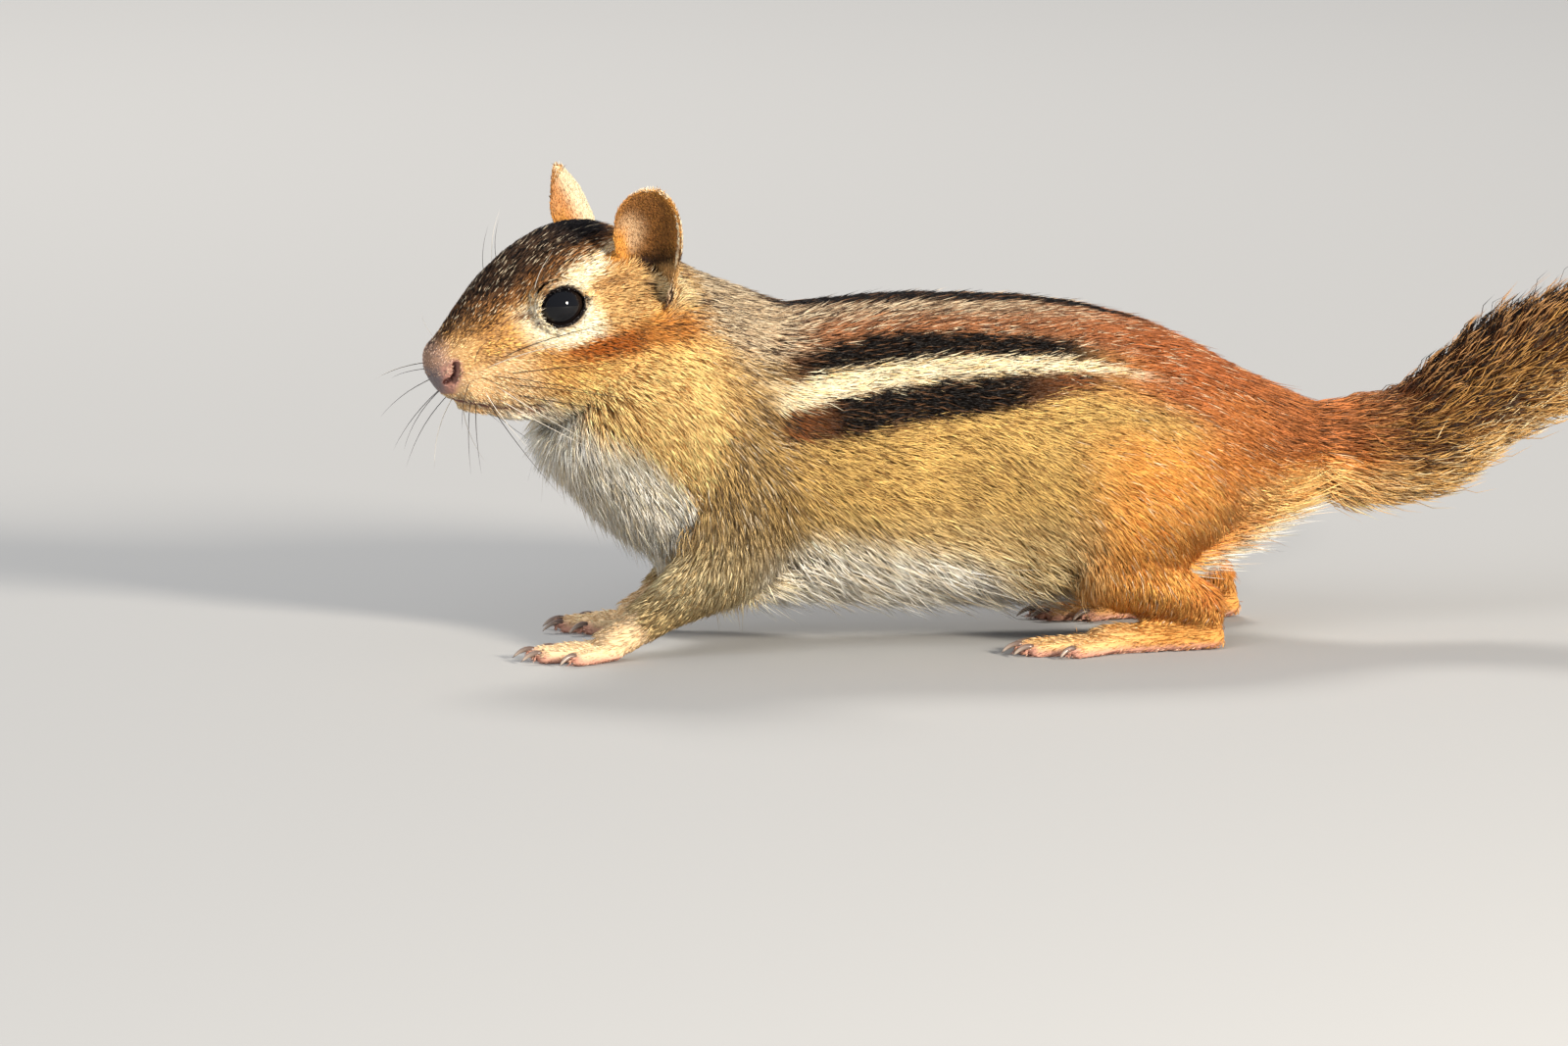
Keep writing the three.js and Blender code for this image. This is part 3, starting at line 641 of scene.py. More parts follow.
def in_nostril(points):
    """From 1 along the middle of a nostril to 0 at its edge."""
    u, v, w = on_head(points).T
    inside = 1 - step(from_line(u, v, NOSTRIL), 0.1, NOSTRIL_WIDTH)
    return inside * (np.abs(w) > 0.9) * (u < 4)


# The claws of the feet are made apart, so the skin of each toe ends where its claw starts.
FORE_TOES = [
    ((-79.7, 13.8), (-88.9, 10.4), 2.3),
    ((-80.1, 14.7), (-92.1, 13.2), 2.4),
    ((-80.1, 15.7), (-91.5, 17.3), 2.4),
    ((-79.3, 16.6), (-86.9, 21.0), 2.2),
]
HIND_TOES = [
    ((-6.5, 16.2), (-14.1, 13.2), 2.0),
    ((-8.1, 16.9), (-19.7, 15.3), 2.4),
    ((-8.5, 17.6), (-21.1, 18.0), 2.4),
    ((-8.1, 18.3), (-19.9, 20.7), 2.4),
    ((-6.3, 18.9), (-14.1, 23.6), 2.1),
]
RIGHT_FEET_BACK = 7.7  # the right feet stand this far behind the left ones


def toes():
    """Each toe's end on the floor, the way it points, and the length of its claw."""
    for sign, back in ((-1, 0), (1, RIGHT_FEET_BACK)):
        for root, tip, claw in FORE_TOES + HIND_TOES:
            end = np.array([tip[0] + back, tip[1] * sign])
            start = np.array([root[0] + back, root[1] * sign])
            yield end, unit(end - start), claw


def with_round_ear_tip(points):
    """Draws in the tip of the right ear, which is seen nearly edge on, to a round point."""
    u, v, w = on_head(points).T
    on_ear = (w < -7) & (u > 26)
    middle = on_head(points[on_ear & (v > 12.5)]).mean(0)
    top = v[w < -7].max()
    share = 0.4 * step(v, top - 5.5, top) * on_ear
    places = np.stack([u + (middle[0] - u) * share, v, w + (middle[2] - w) * share], 1)
    changed = share > 0
    points[changed] = from_head(places[changed])
    return points


# Swellings and hollows of the flank: where each is, how wide and high, and how far it stands out.
MUSCLES = [((-27, 27), (4.5, 8), -1.3), ((-13, 28), (7, 9), 0.6), ((7, 19), (5, 5), 1.0)]


def hump(x, z, middle, size):
    """A soft round hump in the side view, 1 at its middle."""
    return np.exp(-(((x - middle[0]) / size[0]) ** 2) - ((z - middle[1]) / size[1]) ** 2)


def with_muscles(points):
    """A hollow in front of the thigh, and the thigh standing out a little behind it."""
    x, y, z = (points / MM).T
    for middle, size, out in MUSCLES:
        swell = hump(x, z, middle, size) * step(np.abs(y), 4, 9)
        points[:, 1] += np.sign(y) * swell * out * MM
    return points


def without_claws(points):
    """Draws the skin back from the claws to the ends of the toes."""
    for end, way, claw in toes():
        onward = (points[:, :2] / MM - end) @ way
        aside = (points[:, :2] / MM - end) @ np.array([-way[1], way[0]])
        beyond = (onward > 0.3) & (onward < 4) & (np.abs(aside) < 1.2) & (points[:, 2] < 2.8 * MM)
        moves = way * (-0.88 * (onward[beyond] - 0.3) * MM)[:, None]
        points[beyond, :2] += moves
    return points


grown = coordinates(skin.data)
dense = np.zeros(len(grown), bool)
for side in BOTH_SIDES:
    seen = eye_view(grown, side)[0]
    radial = np.hypot(seen[:, 0], seen[:, 1])
    dense |= (radial > 2.6) & (radial < 5.2) & (seen[:, 2] > -1.5) & (seen[:, 2] < 5)
u, v, w = on_head(grown).T
dense |= (u < 3.9) & (v < 1.5) & (v > -5.5)
subdivided(skin, dense)
grown = with_lids(coordinates(skin.data))
grown = with_muscles(without_claws(with_round_ear_tip(grown)))
moved(skin, grown)
beside_lids = lid_edge(grown)
fold = weighted(skin, "fold", step(beside_lids, 0.25, 0.9) * (1 - step(beside_lids, 2.5, 4.5)))
for _ in range(3):
    smoothed(skin, fold, 20)
    grown = filled_round_eyes(coordinates(skin.data), normals(skin.data))
    moved(skin, over_eyes(grown))
smoothed(skin, fold, 60)
grown = over_eyes(coordinates(skin.data))
moved(skin, grown)
grown = grown - normals(skin.data) * (in_nostril(grown) * NOSTRIL_DEPTH * MM)[:, None]
moved(skin, grown)
part_of = nearest_parts(grown)

# How the coat lies: strokes of a comb, each a place and the way the hair points there. On the
# trunk and the legs a place is along and up in the side view, on the head behind and above the
# nose tip, and a way has three parts: along, across and up there, behind, above and out here.
TRUNK_STROKES = [
    (-66, 54, 1.0, 0, -0.05), (-70, 46, 0.85, 0, -0.5), (-74, 36, 0.6, 0, -0.8),
    (-78, 28, 0.5, 0, -0.85), (-66, 30, 0.5, 0, -0.85), (-58, 40, 0.8, 0, -0.55),
    (-62, 16, 0.35, 0, -0.9), (-50, 48, 1.0, 0, 0.0), (-50, 39, 1.0, 0, 0.0),
    (-40, 41, 1.0, 0, 0.06), (-28, 43, 1.0, 0, 0.02), (-14, 43, 1.0, 0, -0.06),
    (-48, 30, 0.9, 0, -0.42), (-48, 14, 0.8, 0, -0.6), (-30, 50, 1.0, 0, 0.0),
    (-30, 32, 0.93, 0, -0.38), (-30, 14, 0.8, 0, -0.6), (-10, 48, 1.0, 0, -0.1),
    (-10, 36, 0.93, 0, -0.35), (-10, 22, 0.75, 0, -0.65), (0, 40, 0.95, 0, -0.35),
    (10, 38, 0.9, 0, -0.45), (10, 28, 0.85, 0, -0.5), (22, 28, 0.98, 0, -0.12),
    (8, 16, 0.8, 0, -0.55), (22, 20, 0.95, 0, -0.2),
]
HIND_LEG_STROKES = [
    (-8, 32, 0.9, 0, -0.45), (-12, 24, 0.75, 0, -0.65), (0, 24, 0.75, 0, -0.65),
    (-14, 16, 0.6, 0, -0.8), (0, 14, 0.45, 0, -0.9), (8, 10, 0.1, 0, -1.0),
    (-8, 9, 0.3, 0, -0.95), (4, 6, -0.5, 0, -0.75), (-4, 5, -0.6, 0, -0.7),
]
FRONT_LEG_STROKES = [
    (-60, 26, 0.3, 0, -0.95), (-62, 18, 0.0, 0, -1.0), (-68, 10, -0.5, 0, -0.85),
    (-75, 5, -0.85, 0, -0.5),
]
FOOT_STROKES = [(-40, 2, -1.0, 0, -0.15)]
HEAD_STROKES = [
    (2, 2, 1, 0.2, 0.1), (3, -3, 1, -0.5, 0.3), (8, 5, 1, 0.25, 0), (8, 0, 1, -0.1, 0.2),
    (8, -5, 1, -0.7, 0.2), (8, -11, 0.6, -1.6, 0), (4, -8, 0.5, -1.6, 0), (14, 6, 1, 0.25, 0),
    (13, 1, 1, -0.1, 0), (14, -3, 1, -0.45, 0), (14, -9, 1, -0.9, 0), (20, 11, 1, 0.05, 0),
    (20, -3, 1, -0.45, 0), (20, -9, 1, -0.9, 0), (20, -16, 1, -1.8, 0), (27, 8, 1, -0.2, 0),
    (27, 1, 1, -0.3, 0), (29, -6, 1, -0.7, 0), (28, -14, 1, -1.5, 0), (36, 8, 1, -0.5, 0),
    (36, -2, 1, -0.6, 0), (36, -12, 1, -1.2, 0),
]
EAR_STROKES = [(33, 8, 0.3, 1, 0.1)]


def combed(places, strokes):
    """The way of the hair at each place: the strokes near it, each weighing more the nearer."""
    total = np.zeros((len(places), 3))
    for across, up, *way in strokes:
        away = (places[:, 0] - across) ** 2 + (places[:, 1] - up) ** 2
        total += np.array(way) / (away + 6)[:, None] ** 2
    return unit(total)


ROOT_DEPTH = 2.0  # how deep the flesh lies below the coat where the tail leaves the rump


def tail_start(x):
    """From 1 at the root of the tail to 0 where its brush is full."""
    return 1 - step(x, *TAIL_NARROWS)


def tail_frame(points):
    """At each point: the tail's direction, and how high its hair stands there over the flesh."""
    line = np.array(TAIL_LINE)
    x = np.clip(points[:, 0] / MM, line[0, 0], line[-1, 0])
    ahead = np.array([np.interp(x + 1.5, line[:, 0], line[:, axis]) for axis in range(3)]).T
    behind = np.array([np.interp(x - 1.5, line[:, 0], line[:, axis]) for axis in range(3)]).T
    reach = np.interp(x, line[:, 0], (line[:, 3] + line[:, 4]) / 2)
    height = reach * (1 - tail_core(x)) + ROOT_DEPTH * tail_start(x)
    return unit(ahead - behind + [1e-9, 0, 0]), height * MM


def ways_of_hair(points):
    side_view = points[:, [0, 2]] / MM
    u, v, w = on_head(points).T
    mirrored = np.where(w > 0, 1, -1)[:, None] * [0, 0, 1] + [1, 1, 0]
    ways = np.zeros((len(points), 3))

    def use(way, *names):
        chosen = on_parts(*names) > 0
        ways[chosen] = way[chosen]

    head_places = np.stack([u, v], 1)
    use(turned_from_head(combed(head_places, HEAD_STROKES) * mirrored), "head")
    use(turned_from_head(combed(head_places, EAR_STROKES) * mirrored), "ear")
    use(combed(side_view, TRUNK_STROKES), "neck", "torso")
    use(combed(side_view, HIND_LEG_STROKES), "hind_leg")
    use(combed(side_view, FRONT_LEG_STROKES), "front_leg")
    use(combed(side_view, FOOT_STROKES), "front_foot", "hind_foot")
    use(tail_frame(points)[0], "tail")
    return ways


def along(value, stations):
    places, levels = zip(*stations)
    return np.interp(value, places, levels)


TRUNK_MIDDLE = [(-86, 38), (-70, 34), (-56, 27)]  # how high the middle of the trunk and neck is


def round_trunk(points):
    """Degrees round the trunk and neck from the middle of the back."""
    x, y, z = (points / MM).T
    return np.degrees(np.arctan2(np.abs(y), z - along(x, TRUNK_MIDDLE)))


def coat_lengths(points):
    """The length of the hair in millimetres: short on the face and feet, long below and behind."""
    u, v, w = on_head(points).T
    x, y, z = (points / MM).T
    face = np.interp(u, (0, 3, 8, 16, 24, 36), (0.45, 0.75, 1.2, 1.5, 2.0, 2.9))
    face = face + 4.4 * step(u, 10, 15) * (1 - step(v, -16, -11))
    face = face + 1.2 * (1 - step(v, -10.5, -8.5)) * (1 - step(u, 12, 16))
    face = face * (1 - 0.5 * near(points, EYE_PLACE, 7))
    under = step(round_trunk(points), 105, 145)
    length = on_parts("head") * face
    length += on_parts("neck") * (3.5 + 3.0 * under)
    length += on_parts("torso") * (3.8 + 4.2 * under + 2.2 * step(x, 8, 20))
    length += on_parts("hind_leg") * np.interp(z, (5, 9, 16), (1.8, 2.7, 4.5))
    length += on_parts("front_leg") * np.interp(z, (3, 7, 14), (1.6, 3.0, 4.4))
    length += on_parts("front_foot") * np.interp(z, (1.0, 5), (0.8, 2.0))
    heel = 1 + 0.4 * step(x, -8, 2)
    length += on_parts("hind_foot") * np.interp(z, (1.0, 4.5), (1.1, 2.1)) * heel
    length += on_parts("ear") * 0.75
    length += on_parts("tail") * np.interp(x, (18, 30, 44, 88, 106), (6.0, 7.5, 9.5, 9.0, 4.5))
    return length


def coat_depths(length, x):
    """How deep below the coat's outline the skin lies, in millimetres."""
    depth = np.interp(length, (0, 1, 2, 3, 5, 7), (0.05, 0.2, 0.5, 0.85, 1.6, 2.3))
    depth = np.where(on_parts("tail") > 0, ROOT_DEPTH * tail_start(x), depth)
    return depth + 0.25 * on_parts("ear")


def shagginess(points):
    """How far the hair stands off the body, as a share of what it does elsewhere."""
    u, v, w = on_head(points).T
    throat = on_parts("head") * step(u, 9, 14) * (1 - step(v, -14, -9))
    under = on_parts("neck", "torso") * step(round_trunk(points), 110, 140)
    return 1 + 1.3 * throat + 0.8 * under


def blurred(values, rounds):
    """Values at the skin's points, each evened out with its neighbours' again and again."""
    values = values.reshape(len(values), -1)
    first, second = read(skin.data.edges, "vertices", 2, int).T
    count = np.bincount(first, minlength=len(values)) + np.bincount(second, minlength=len(values))
    for _ in range(rounds):
        total = np.empty_like(values)
        for column in range(values.shape[1]):
            total[:, column] = np.bincount(first, values[second, column], len(values))
            total[:, column] += np.bincount(second, values[first, column], len(values))
        values = 0.4 * values + 0.6 * total / np.maximum(count, 1)[:, None]
    return values.squeeze()


def along_surface(ways, outward):
    return unit(ways - outward * (ways * outward).sum(-1, keepdims=True))


def round_eyes(points, ways):
    """Turns aside the hair that would lie over an eye, so that it flows round the lids."""
    close = 1 - step(lid_edge(points), 0.6, 2.8)
    for side in BOTH_SIDES:
        toward = np.array(eye_centre(side)) - points
        away = np.linalg.norm(toward, axis=1) / MM
        onto = (ways * unit(toward)).sum(1)
        turn = close * (away < 9) * np.maximum(onto + 0.25, 0)
        ways = ways - unit(toward) * turn[:, None]
    return ways


length_at = blurred(coat_lengths(grown), 14)
depth_at = blurred(coat_depths(length_at, grown[:, 0] / MM), 5)
shag_at = blurred(shagginess(grown), 10)
moved(skin, grown - normals(skin.data) * depth_at[:, None] * MM)
smoothed(skin, broad, 4, factor=0.5)
surface = over_eyes(coordinates(skin.data))
moved(skin, surface)
outward = normals(skin.data)
way_at = along_surface(blurred(along_surface(ways_of_hair(grown), outward), 20), outward)
way_at = along_surface(round_eyes(surface, way_at), outward)


# The markings, painted alike on the skin and on every tuft: places on the head and angles round
# the trunk, from the middle of the back, at which one colour gives way to the next.
def srgb(code):
    """A colour as light, from six hexadecimal digits. What is light already stays as it is."""
    if not isinstance(code, str):
        return code
    levels = np.array([int(code[i : i + 2], 16) for i in (0, 2, 4)]) / 255
    return np.where(levels <= 0.04045, levels / 12.92, ((levels + 0.055) / 1.055) ** 2.4)


GOLD = srgb("E0B068")
PALE_GOLD = srgb("F2D29A")
CREAM = srgb("F6E8CC")
WHITE = srgb("FBF1E0")
RUST = srgb("BC6E3C")
DEEP_ORANGE = srgb("D07C30")
OLIVE = srgb("C8A468")
GREY_BROWN = srgb("9C8064")
PALE_GREY = srgb("E2D2B4")
BROWN = srgb("6A4A32")
BLACK = srgb("100B09")
DARK = srgb("30251E")
NOSE_PINK = srgb("9C7062")
# a painted shade for the front of the nose
NOSE_FRONT_SHADE = srgb("706362")
NOSTRIL_DARK = srgb("3A1814")
LIP_RED = srgb("6E463E")
TEAR_PINK = srgb("8A6C68")
LID_BLACK = srgb("120C0B")
TOE_PINK = srgb("E2B49A")

# The edges of the trunk's colours: each pair is a place along it, in millimetres, and an angle
# round it from the middle of the back, in degrees.
BACK_STRIPE = [(-62, 3), (-52, 9), (-40, 10), (-28, 8.5), (-12, 7), (4, 3)]
FIRST_BLACK_TOP = [(-54, 35), (-47, 29.5), (-39, 28), (-28, 29), (-20, 32.5), (-14, 35), (-9, 38)]
CREAM_TOP = [(-58, 46), (-52, 43.5), (-44, 42), (-36, 40.7), (-24, 41), (-15, 42.5), (-3, 46)]
CREAM_BOTTOM = [(-58, 58), (-50, 55), (-42, 51.5), (-36, 49.5), (-26, 48.5), (-15, 48), (-3, 48.5)]
SECOND_BLACK_BOTTOM = [(-54, 71), (-48, 71.5), (-42, 69), (-36, 66), (-26, 62.5), (-20, 60.5)]
SECOND_BLACK_BOTTOM += [(-10, 53)]
RUMP_EDGE = [(-26, 50), (-8, 51), (2, 58), (9, 66), (14, 76)]
BELLY_TOP = [(-88, 100), (-82, 112), (-78, 122), (-75, 141), (-71, 158), (-66, 152), (-60, 128)]
BELLY_TOP += [(-54, 119), (-45, 119), (-36, 123), (-26, 131), (-10, 131), (6, 128), (13, 136)]
BELLY_TOP += [(20, 185)]

# Levels on the side of the head at places behind the nose, in millimetres.
CROWN_EDGE = [(0, 2.0), (5, 3.7), (8, 4.3), (11, 4.7), (14, 5.0), (17, 6.1), (21, 7.2)]
CROWN_EDGE += [(25, 7.6), (30, 8.0)]
CREAM_BROW = [(13, 3.6), (16, 4.7), (19, 6.1), (22, 6.7), (26, 7.0), (30, 7.2)]
BROW_BOTTOM = [(13, 2.8), (20, 4.5), (24, 4.4), (30, 5.4)]
EYE_LINE = [(11, 3.4), (14.6, 2.6), (23, 3.0), (26, 3.4), (30, 2.2)]
CREAM_CHEEK_TOP = [(12, 1.6), (14, 1.4), (17, 0.6), (21, 0.4), (25, 0.2), (29, -1.2)]
CREAM_CHEEK_BOTTOM = [(11, -1.2), (14, -1.9), (16.5, -3.1), (20, -3.2), (24, -3.1), (30, -3.5)]
CREAM_CHEEK_BOTTOM += [(36, -4.8)]
RUST_CHEEK_BOTTOM = [(12, -3.0), (16, -4.6), (19, -5.6), (22, -6.4), (28, -7.0), (36, -8.6)]
NOTCH = [(33.7, 3.6), (32.7, 1.8), (32.0, 0.3), (32.3, -1.4), (32.8, -2.7)]  # below each ear
MOUTH_LINE = [(1.3, -5.7), (3.6, -6.9), (6.6, -8.8), (9.8, -10.1), (12.6, -10.7)]


def band(value, low, high, soft):
    return step(value, low - soft, low + soft) * (1 - step(value, high - soft, high + soft))


class Paint:
    """The coat's colour at points, its ticking's colour and share, and the share of pale tips."""

    def __init__(self, count):
        self.coats = np.tile(np.hstack([GOLD, BROWN, 0.2, 0.0]), (count, 1))

    def blend(self, chosen, mask, coats):
        mask = np.broadcast_to(np.asarray(mask, float), len(self.coats[chosen]))[:, None]
        self.coats[chosen] = self.coats[chosen] * (1 - mask) + coats * mask

    def over(self, mask, main, tick, share, frost=0.0):
        """Lays one coat over the points, as thick as the mask says, from 0 to 1."""
        self.blend(slice(None), mask, np.hstack([srgb(main), srgb(tick), share, frost]))

    def split(self):
        return self.coats[:, :3], self.coats[:, 3:6], self.coats[:, 6], self.coats[:, 7]


def paint_body(points):
    paint = Paint(len(points))
    x, y, z = (points / MM).T
    around = round_trunk(points)
    shoulder = 1 - step(x, -62, -48)
    paint.over(1, "D6B26C", "8E6C3E", 0.32)
    paint.over(shoulder, OLIVE, "6E563A", 0.4, 0.12)
    neck = 1 - step(x, -72, -63)
    paint.over(neck, "EDBC70", "8A6236", 0.25)
    low = 1 - step(z, 9, 26)
    paint.over(low * step(around, 84, 112), "E8D4A8", "B09464", 0.3)
    haunch = step(x, -18, -4) * step(around, 62, 84)
    paint.over(haunch, "EAA856", "C98C44", 0.3, 0.06)
    paint.over(step(x, -2, 9) * step(around, 70, 88), "E89C4C", "C87430", 0.35, 0.08)
    paint.over(band(around, -1, 38, 4), GREY_BROWN, "4A382C", 0.36, 0.3)
    paint.over(band(around, 20, 33, 5) * (1 - shoulder), "A66E48", "5E3E2C", 0.35, 0.1)
    rump = step(x, -26, 2)
    edge = along(x, RUMP_EDGE)
    paint.over(rump * (1 - step(around, edge - 5, edge + 14)), RUST, "8E5430", 0.4, 0.08)
    paint.over(step(x, 0, 12) * band(around, 42, 84, 10), "D88C4C", "AC6834", 0.35, 0.06)
    paint.over(step(x, 10, 18) * (1 - step(around, 70, 100)), "C27844", "7E5030", 0.4)
    # Painted light: the low back of the rump, which faces down, is painted paler as if sunlit.
    paint.over(step(x, 6, 14) * step(around, 88, 112), "FFCE88", "E8A860", 0.3)
    paint.over(shoulder * (1 - step(around, 20, 62)), "BCA484", "4E3E34", 0.36, 0.3)
    fading = 1 - step(x, -6, 4)
    middle = band(around, -10, along(x, BACK_STRIPE), 1.2)
    paint.over(middle * step(x, -64, -57) * fading, BLACK, BROWN, 0.1)
    first = band(around, along(x, FIRST_BLACK_TOP), along(x, CREAM_TOP), 1.0)
    paint.over(first * step(x, -58, -54) * (1 - step(x, -54, -46)), "84502C", DARK, 0.55)
    paint.over(first * step(x, -57, -53) * (1 - step(x, -16, -5)), BLACK, BROWN, 0.07)
    second = band(around, along(x, CREAM_BOTTOM), along(x, SECOND_BLACK_BOTTOM), 1.5)
    paint.over(second * step(x, -60, -55) * (1 - step(x, -14, -6)), "84502C", DARK, 0.5)
    paint.over(second * step(x, -54, -48) * (1 - step(x, -24, -13)), BLACK, BROWN, 0.1)
    cream = band(around, along(x, CREAM_TOP), along(x, CREAM_BOTTOM), 1.2)
    paint.over(cream * step(x, -61, -55) * (1 - step(x, -12, 4)), "ECDDBE", PALE_GOLD, 0.2)
    under = step(around, along(x, BELLY_TOP) - 10, along(x, BELLY_TOP) + 8)
    by_leg = step(x, -30, -20) + 1 - step(x, -62, -55)
    limb = step(np.abs(y), 8, 11) * (1 - step(z, 16, 22)) * by_leg
    paint.over(under * (1 - np.clip(limb, 0, 1)), WHITE, PALE_GREY, 0.22)
    return paint


def paint_head(points):
    paint = Paint(len(points))
    u, v, w = on_head(points).T
    side = np.abs(w)
    paint.over(1, "EEBA6A", "8A5A2E", 0.28)
    paint.over(1 - step(v, -12, -5), "F8D08C", "A87840", 0.22)
    white_from = np.interp(u, (10, 15, 19, 22.6, 26, 30), (-11, -12.8, -15.5, -19.3, -26, -36))
    paint.over(1 - step(v, white_from - 3, white_from + 2), WHITE, PALE_GREY, 0.3)
    paint.over((1 - step(side, 4, 9)) * (1 - step(v, -13, -9)), WHITE, PALE_GREY, 0.3)
    pad = (1 - step(u, 10, 15)) * (1 - step(v, -2.4, -0.8))
    paint.over(pad, "ECCEA2", "C89C66", 0.3)
    paint.over((1 - step(u, 12, 15)) * (1 - step(v, -10.6, -9)), "E8DDCA", PALE_GREY, 0.3)
    bridge = (1 - step(u, 9, 14)) * step(v, 0.2, 2.5)
    paint.over(bridge, "C08C4C", "5A3A22", 0.42)
    muzzle = (1 - step(u, 4, 8)) * band(v, -1.5, 2.4, 1.0)
    paint.over(muzzle, "E2C08C", "A88050", 0.3)
    paint.over((1 - step(u, 1.4, 4.0)) * (v > -4), "C6A590", "806A60", 0.4)
    crown = step(v, along(u, CROWN_EDGE) - 0.9, along(u, CROWN_EDGE) + 0.9)
    paint.over(crown, "503A2A", "100C0A", 0.5, 0.08)
    edge = band(v, along(u, CROWN_EDGE) - 0.6, along(u, CROWN_EDGE) + 1.4, 0.8)
    paint.over(edge * step(u, 5, 10), "9A683A", "3A281C", 0.42, 0.08)
    paint.over(crown * step(u, 21, 26) * step(v, 8.0, 9.2), "241B18", BLACK, 0.5, 0.03)
    paint.over(crown * step(u, 32, 36), "A89274", "4A3C32", 0.4, 0.22)
    brow = band(v, along(u, BROW_BOTTOM) - 1, along(u, CREAM_BROW), 0.6)
    paint.over(brow * band(u, 12.8, 31, 1.5), CREAM, PALE_GOLD, 0.25)
    cheek = band(v, along(u, CREAM_CHEEK_BOTTOM), along(u, CREAM_CHEEK_TOP) + 2.5, 0.6)
    paint.over(cheek * band(u, 12.5, 24, 1.6), CREAM, PALE_GOLD, 0.15)
    behind_eye = band(v, -3.0, along(u, BROW_BOTTOM), 0.8) * band(u, 23, 33, 1.5)
    paint.over(behind_eye, "DCB478", "A87844", 0.27)
    rust = band(v, along(u, RUST_CHEEK_BOTTOM), along(u, CREAM_CHEEK_BOTTOM) - 0.2, 1.0)
    paint.over(rust * band(u, 15, 37, 3), "CC8840", "6A4222", 0.32)
    paint.over(rust * band(u, 17.5, 27.5, 2), "AC5E20", "4E2C14", 0.32)
    line = band(v, along(u, EYE_LINE) - 0.35, along(u, EYE_LINE) + 0.35, 0.35)
    paint.over(line * band(u, 12.0, 15, 0.6), "7A5230", BROWN, 0.5)
    paint.over(line * band(u, 24, 29, 1), "9A6A3A", BROWN, 0.5)
    paint.over(band(v, -1.5, -0.9, 0.35) * band(u, 6, 13, 1), "8A5E38", BROWN, 0.4)
    paint.over(near(points, (36.2, -1.0, 11), 5.0), "F4DCAC", PALE_GOLD, 0.3)
    nape = band(u, 34, 46, 3) * step(v, 0, 4)
    paint.over(nape, "BEA67E", "5E4A38", 0.34, 0.22)
    # Painted shade: the crease below each ear is painted dark.
    notch_shade = (1 - step(from_line(u, v, NOTCH), 0.45, 1.0)) * (side > 8)
    paint.over(notch_shade, "4A3020", "1E130D", 0.45)
    mouth = 1 - step(from_line(u, v, MOUTH_LINE), 0.1, 0.5)
    paint.over(mouth * (side > 0.8), "A07A64", PALE_GREY, 0.4)
    return paint


def paint_ear(points, outward):
    paint = Paint(len(points))
    u, v, w = on_head(points).T
    inside = step((outward @ HEAD_AXES.T)[:, 2] * np.sign(w), -0.15, 0.25)
    round_ear = np.hypot((u - 34.0) / 4.6, (v - 8.5) / 6.6)
    paint.over(1, "D29860", "A4642E", 0.3)
    paint.over((1 - inside) * step(u, 32, 35.5), "F4DEB8", PALE_GREY, 0.3)
    paint.over(inside, "946430", "5E3C1E", 0.42)
    pale = 1 - step(np.hypot(u - 32.4, (v - 8.5) * 0.75), 0.8, 3.4)
    paint.over(inside * pale, "D6B892", "A87C50", 0.35)
    paint.over(inside * step(round_ear, 0.8, 1.0), "D69A4C", "7E4C20", 0.3)
    # Painted shade: the inside of the ear is painted dark near its base.
    paint.over((1 - step(v, 2.5, 6.0)) * inside * step(u, 32.6, 33.6), "2C1A10", "120B08", 0.4)
    paint.over((1 - step(v, 8, 11)) * (1 - step(u, 31.2, 32.6)), "DC9C48", "8E5C2A", 0.3)
    paint.over((1 - step(v, 1.0, 3.0)) * step(u, 34.4, 35.2), "D2A468", "8E6638", 0.35)
    # Painted shade: the crease below the ear is painted dark here too.
    paint.over(1 - step(from_line(u, v, NOTCH), 0.3, 0.9), "3A2416", "1A100B", 0.4)
    return paint


def paint_foot(points):
    paint = Paint(len(points))
    x, y, z = (points / MM).T
    hind = step(x, -40, -30)
    paint.over(1 - hind, "EACDA4", "D0AC7C", 0.35)
    paint.over(hind, "EFC48A", "C08C50", 0.4)
    paint.over(hind * step(x, -14, 2), "E4A658", "B87634", 0.4)
    for end, way, claw in toes():
        tip = 1 - step(np.hypot(x - end[0], y - end[1]), 0.6, 2.2)
        paint.over(tip * (1 - step(z, 1.2, 2.2)), "A66A5A", TOE_PINK, 0.3)
    paint.over(1 - step(z, 0.5, 1.6), "AE7866", TOE_PINK, 0.3)
    return paint


FACE_ENDS = {"head": (36, 42), "neck": (33, 41)}  # where the face's markings give way to the body's


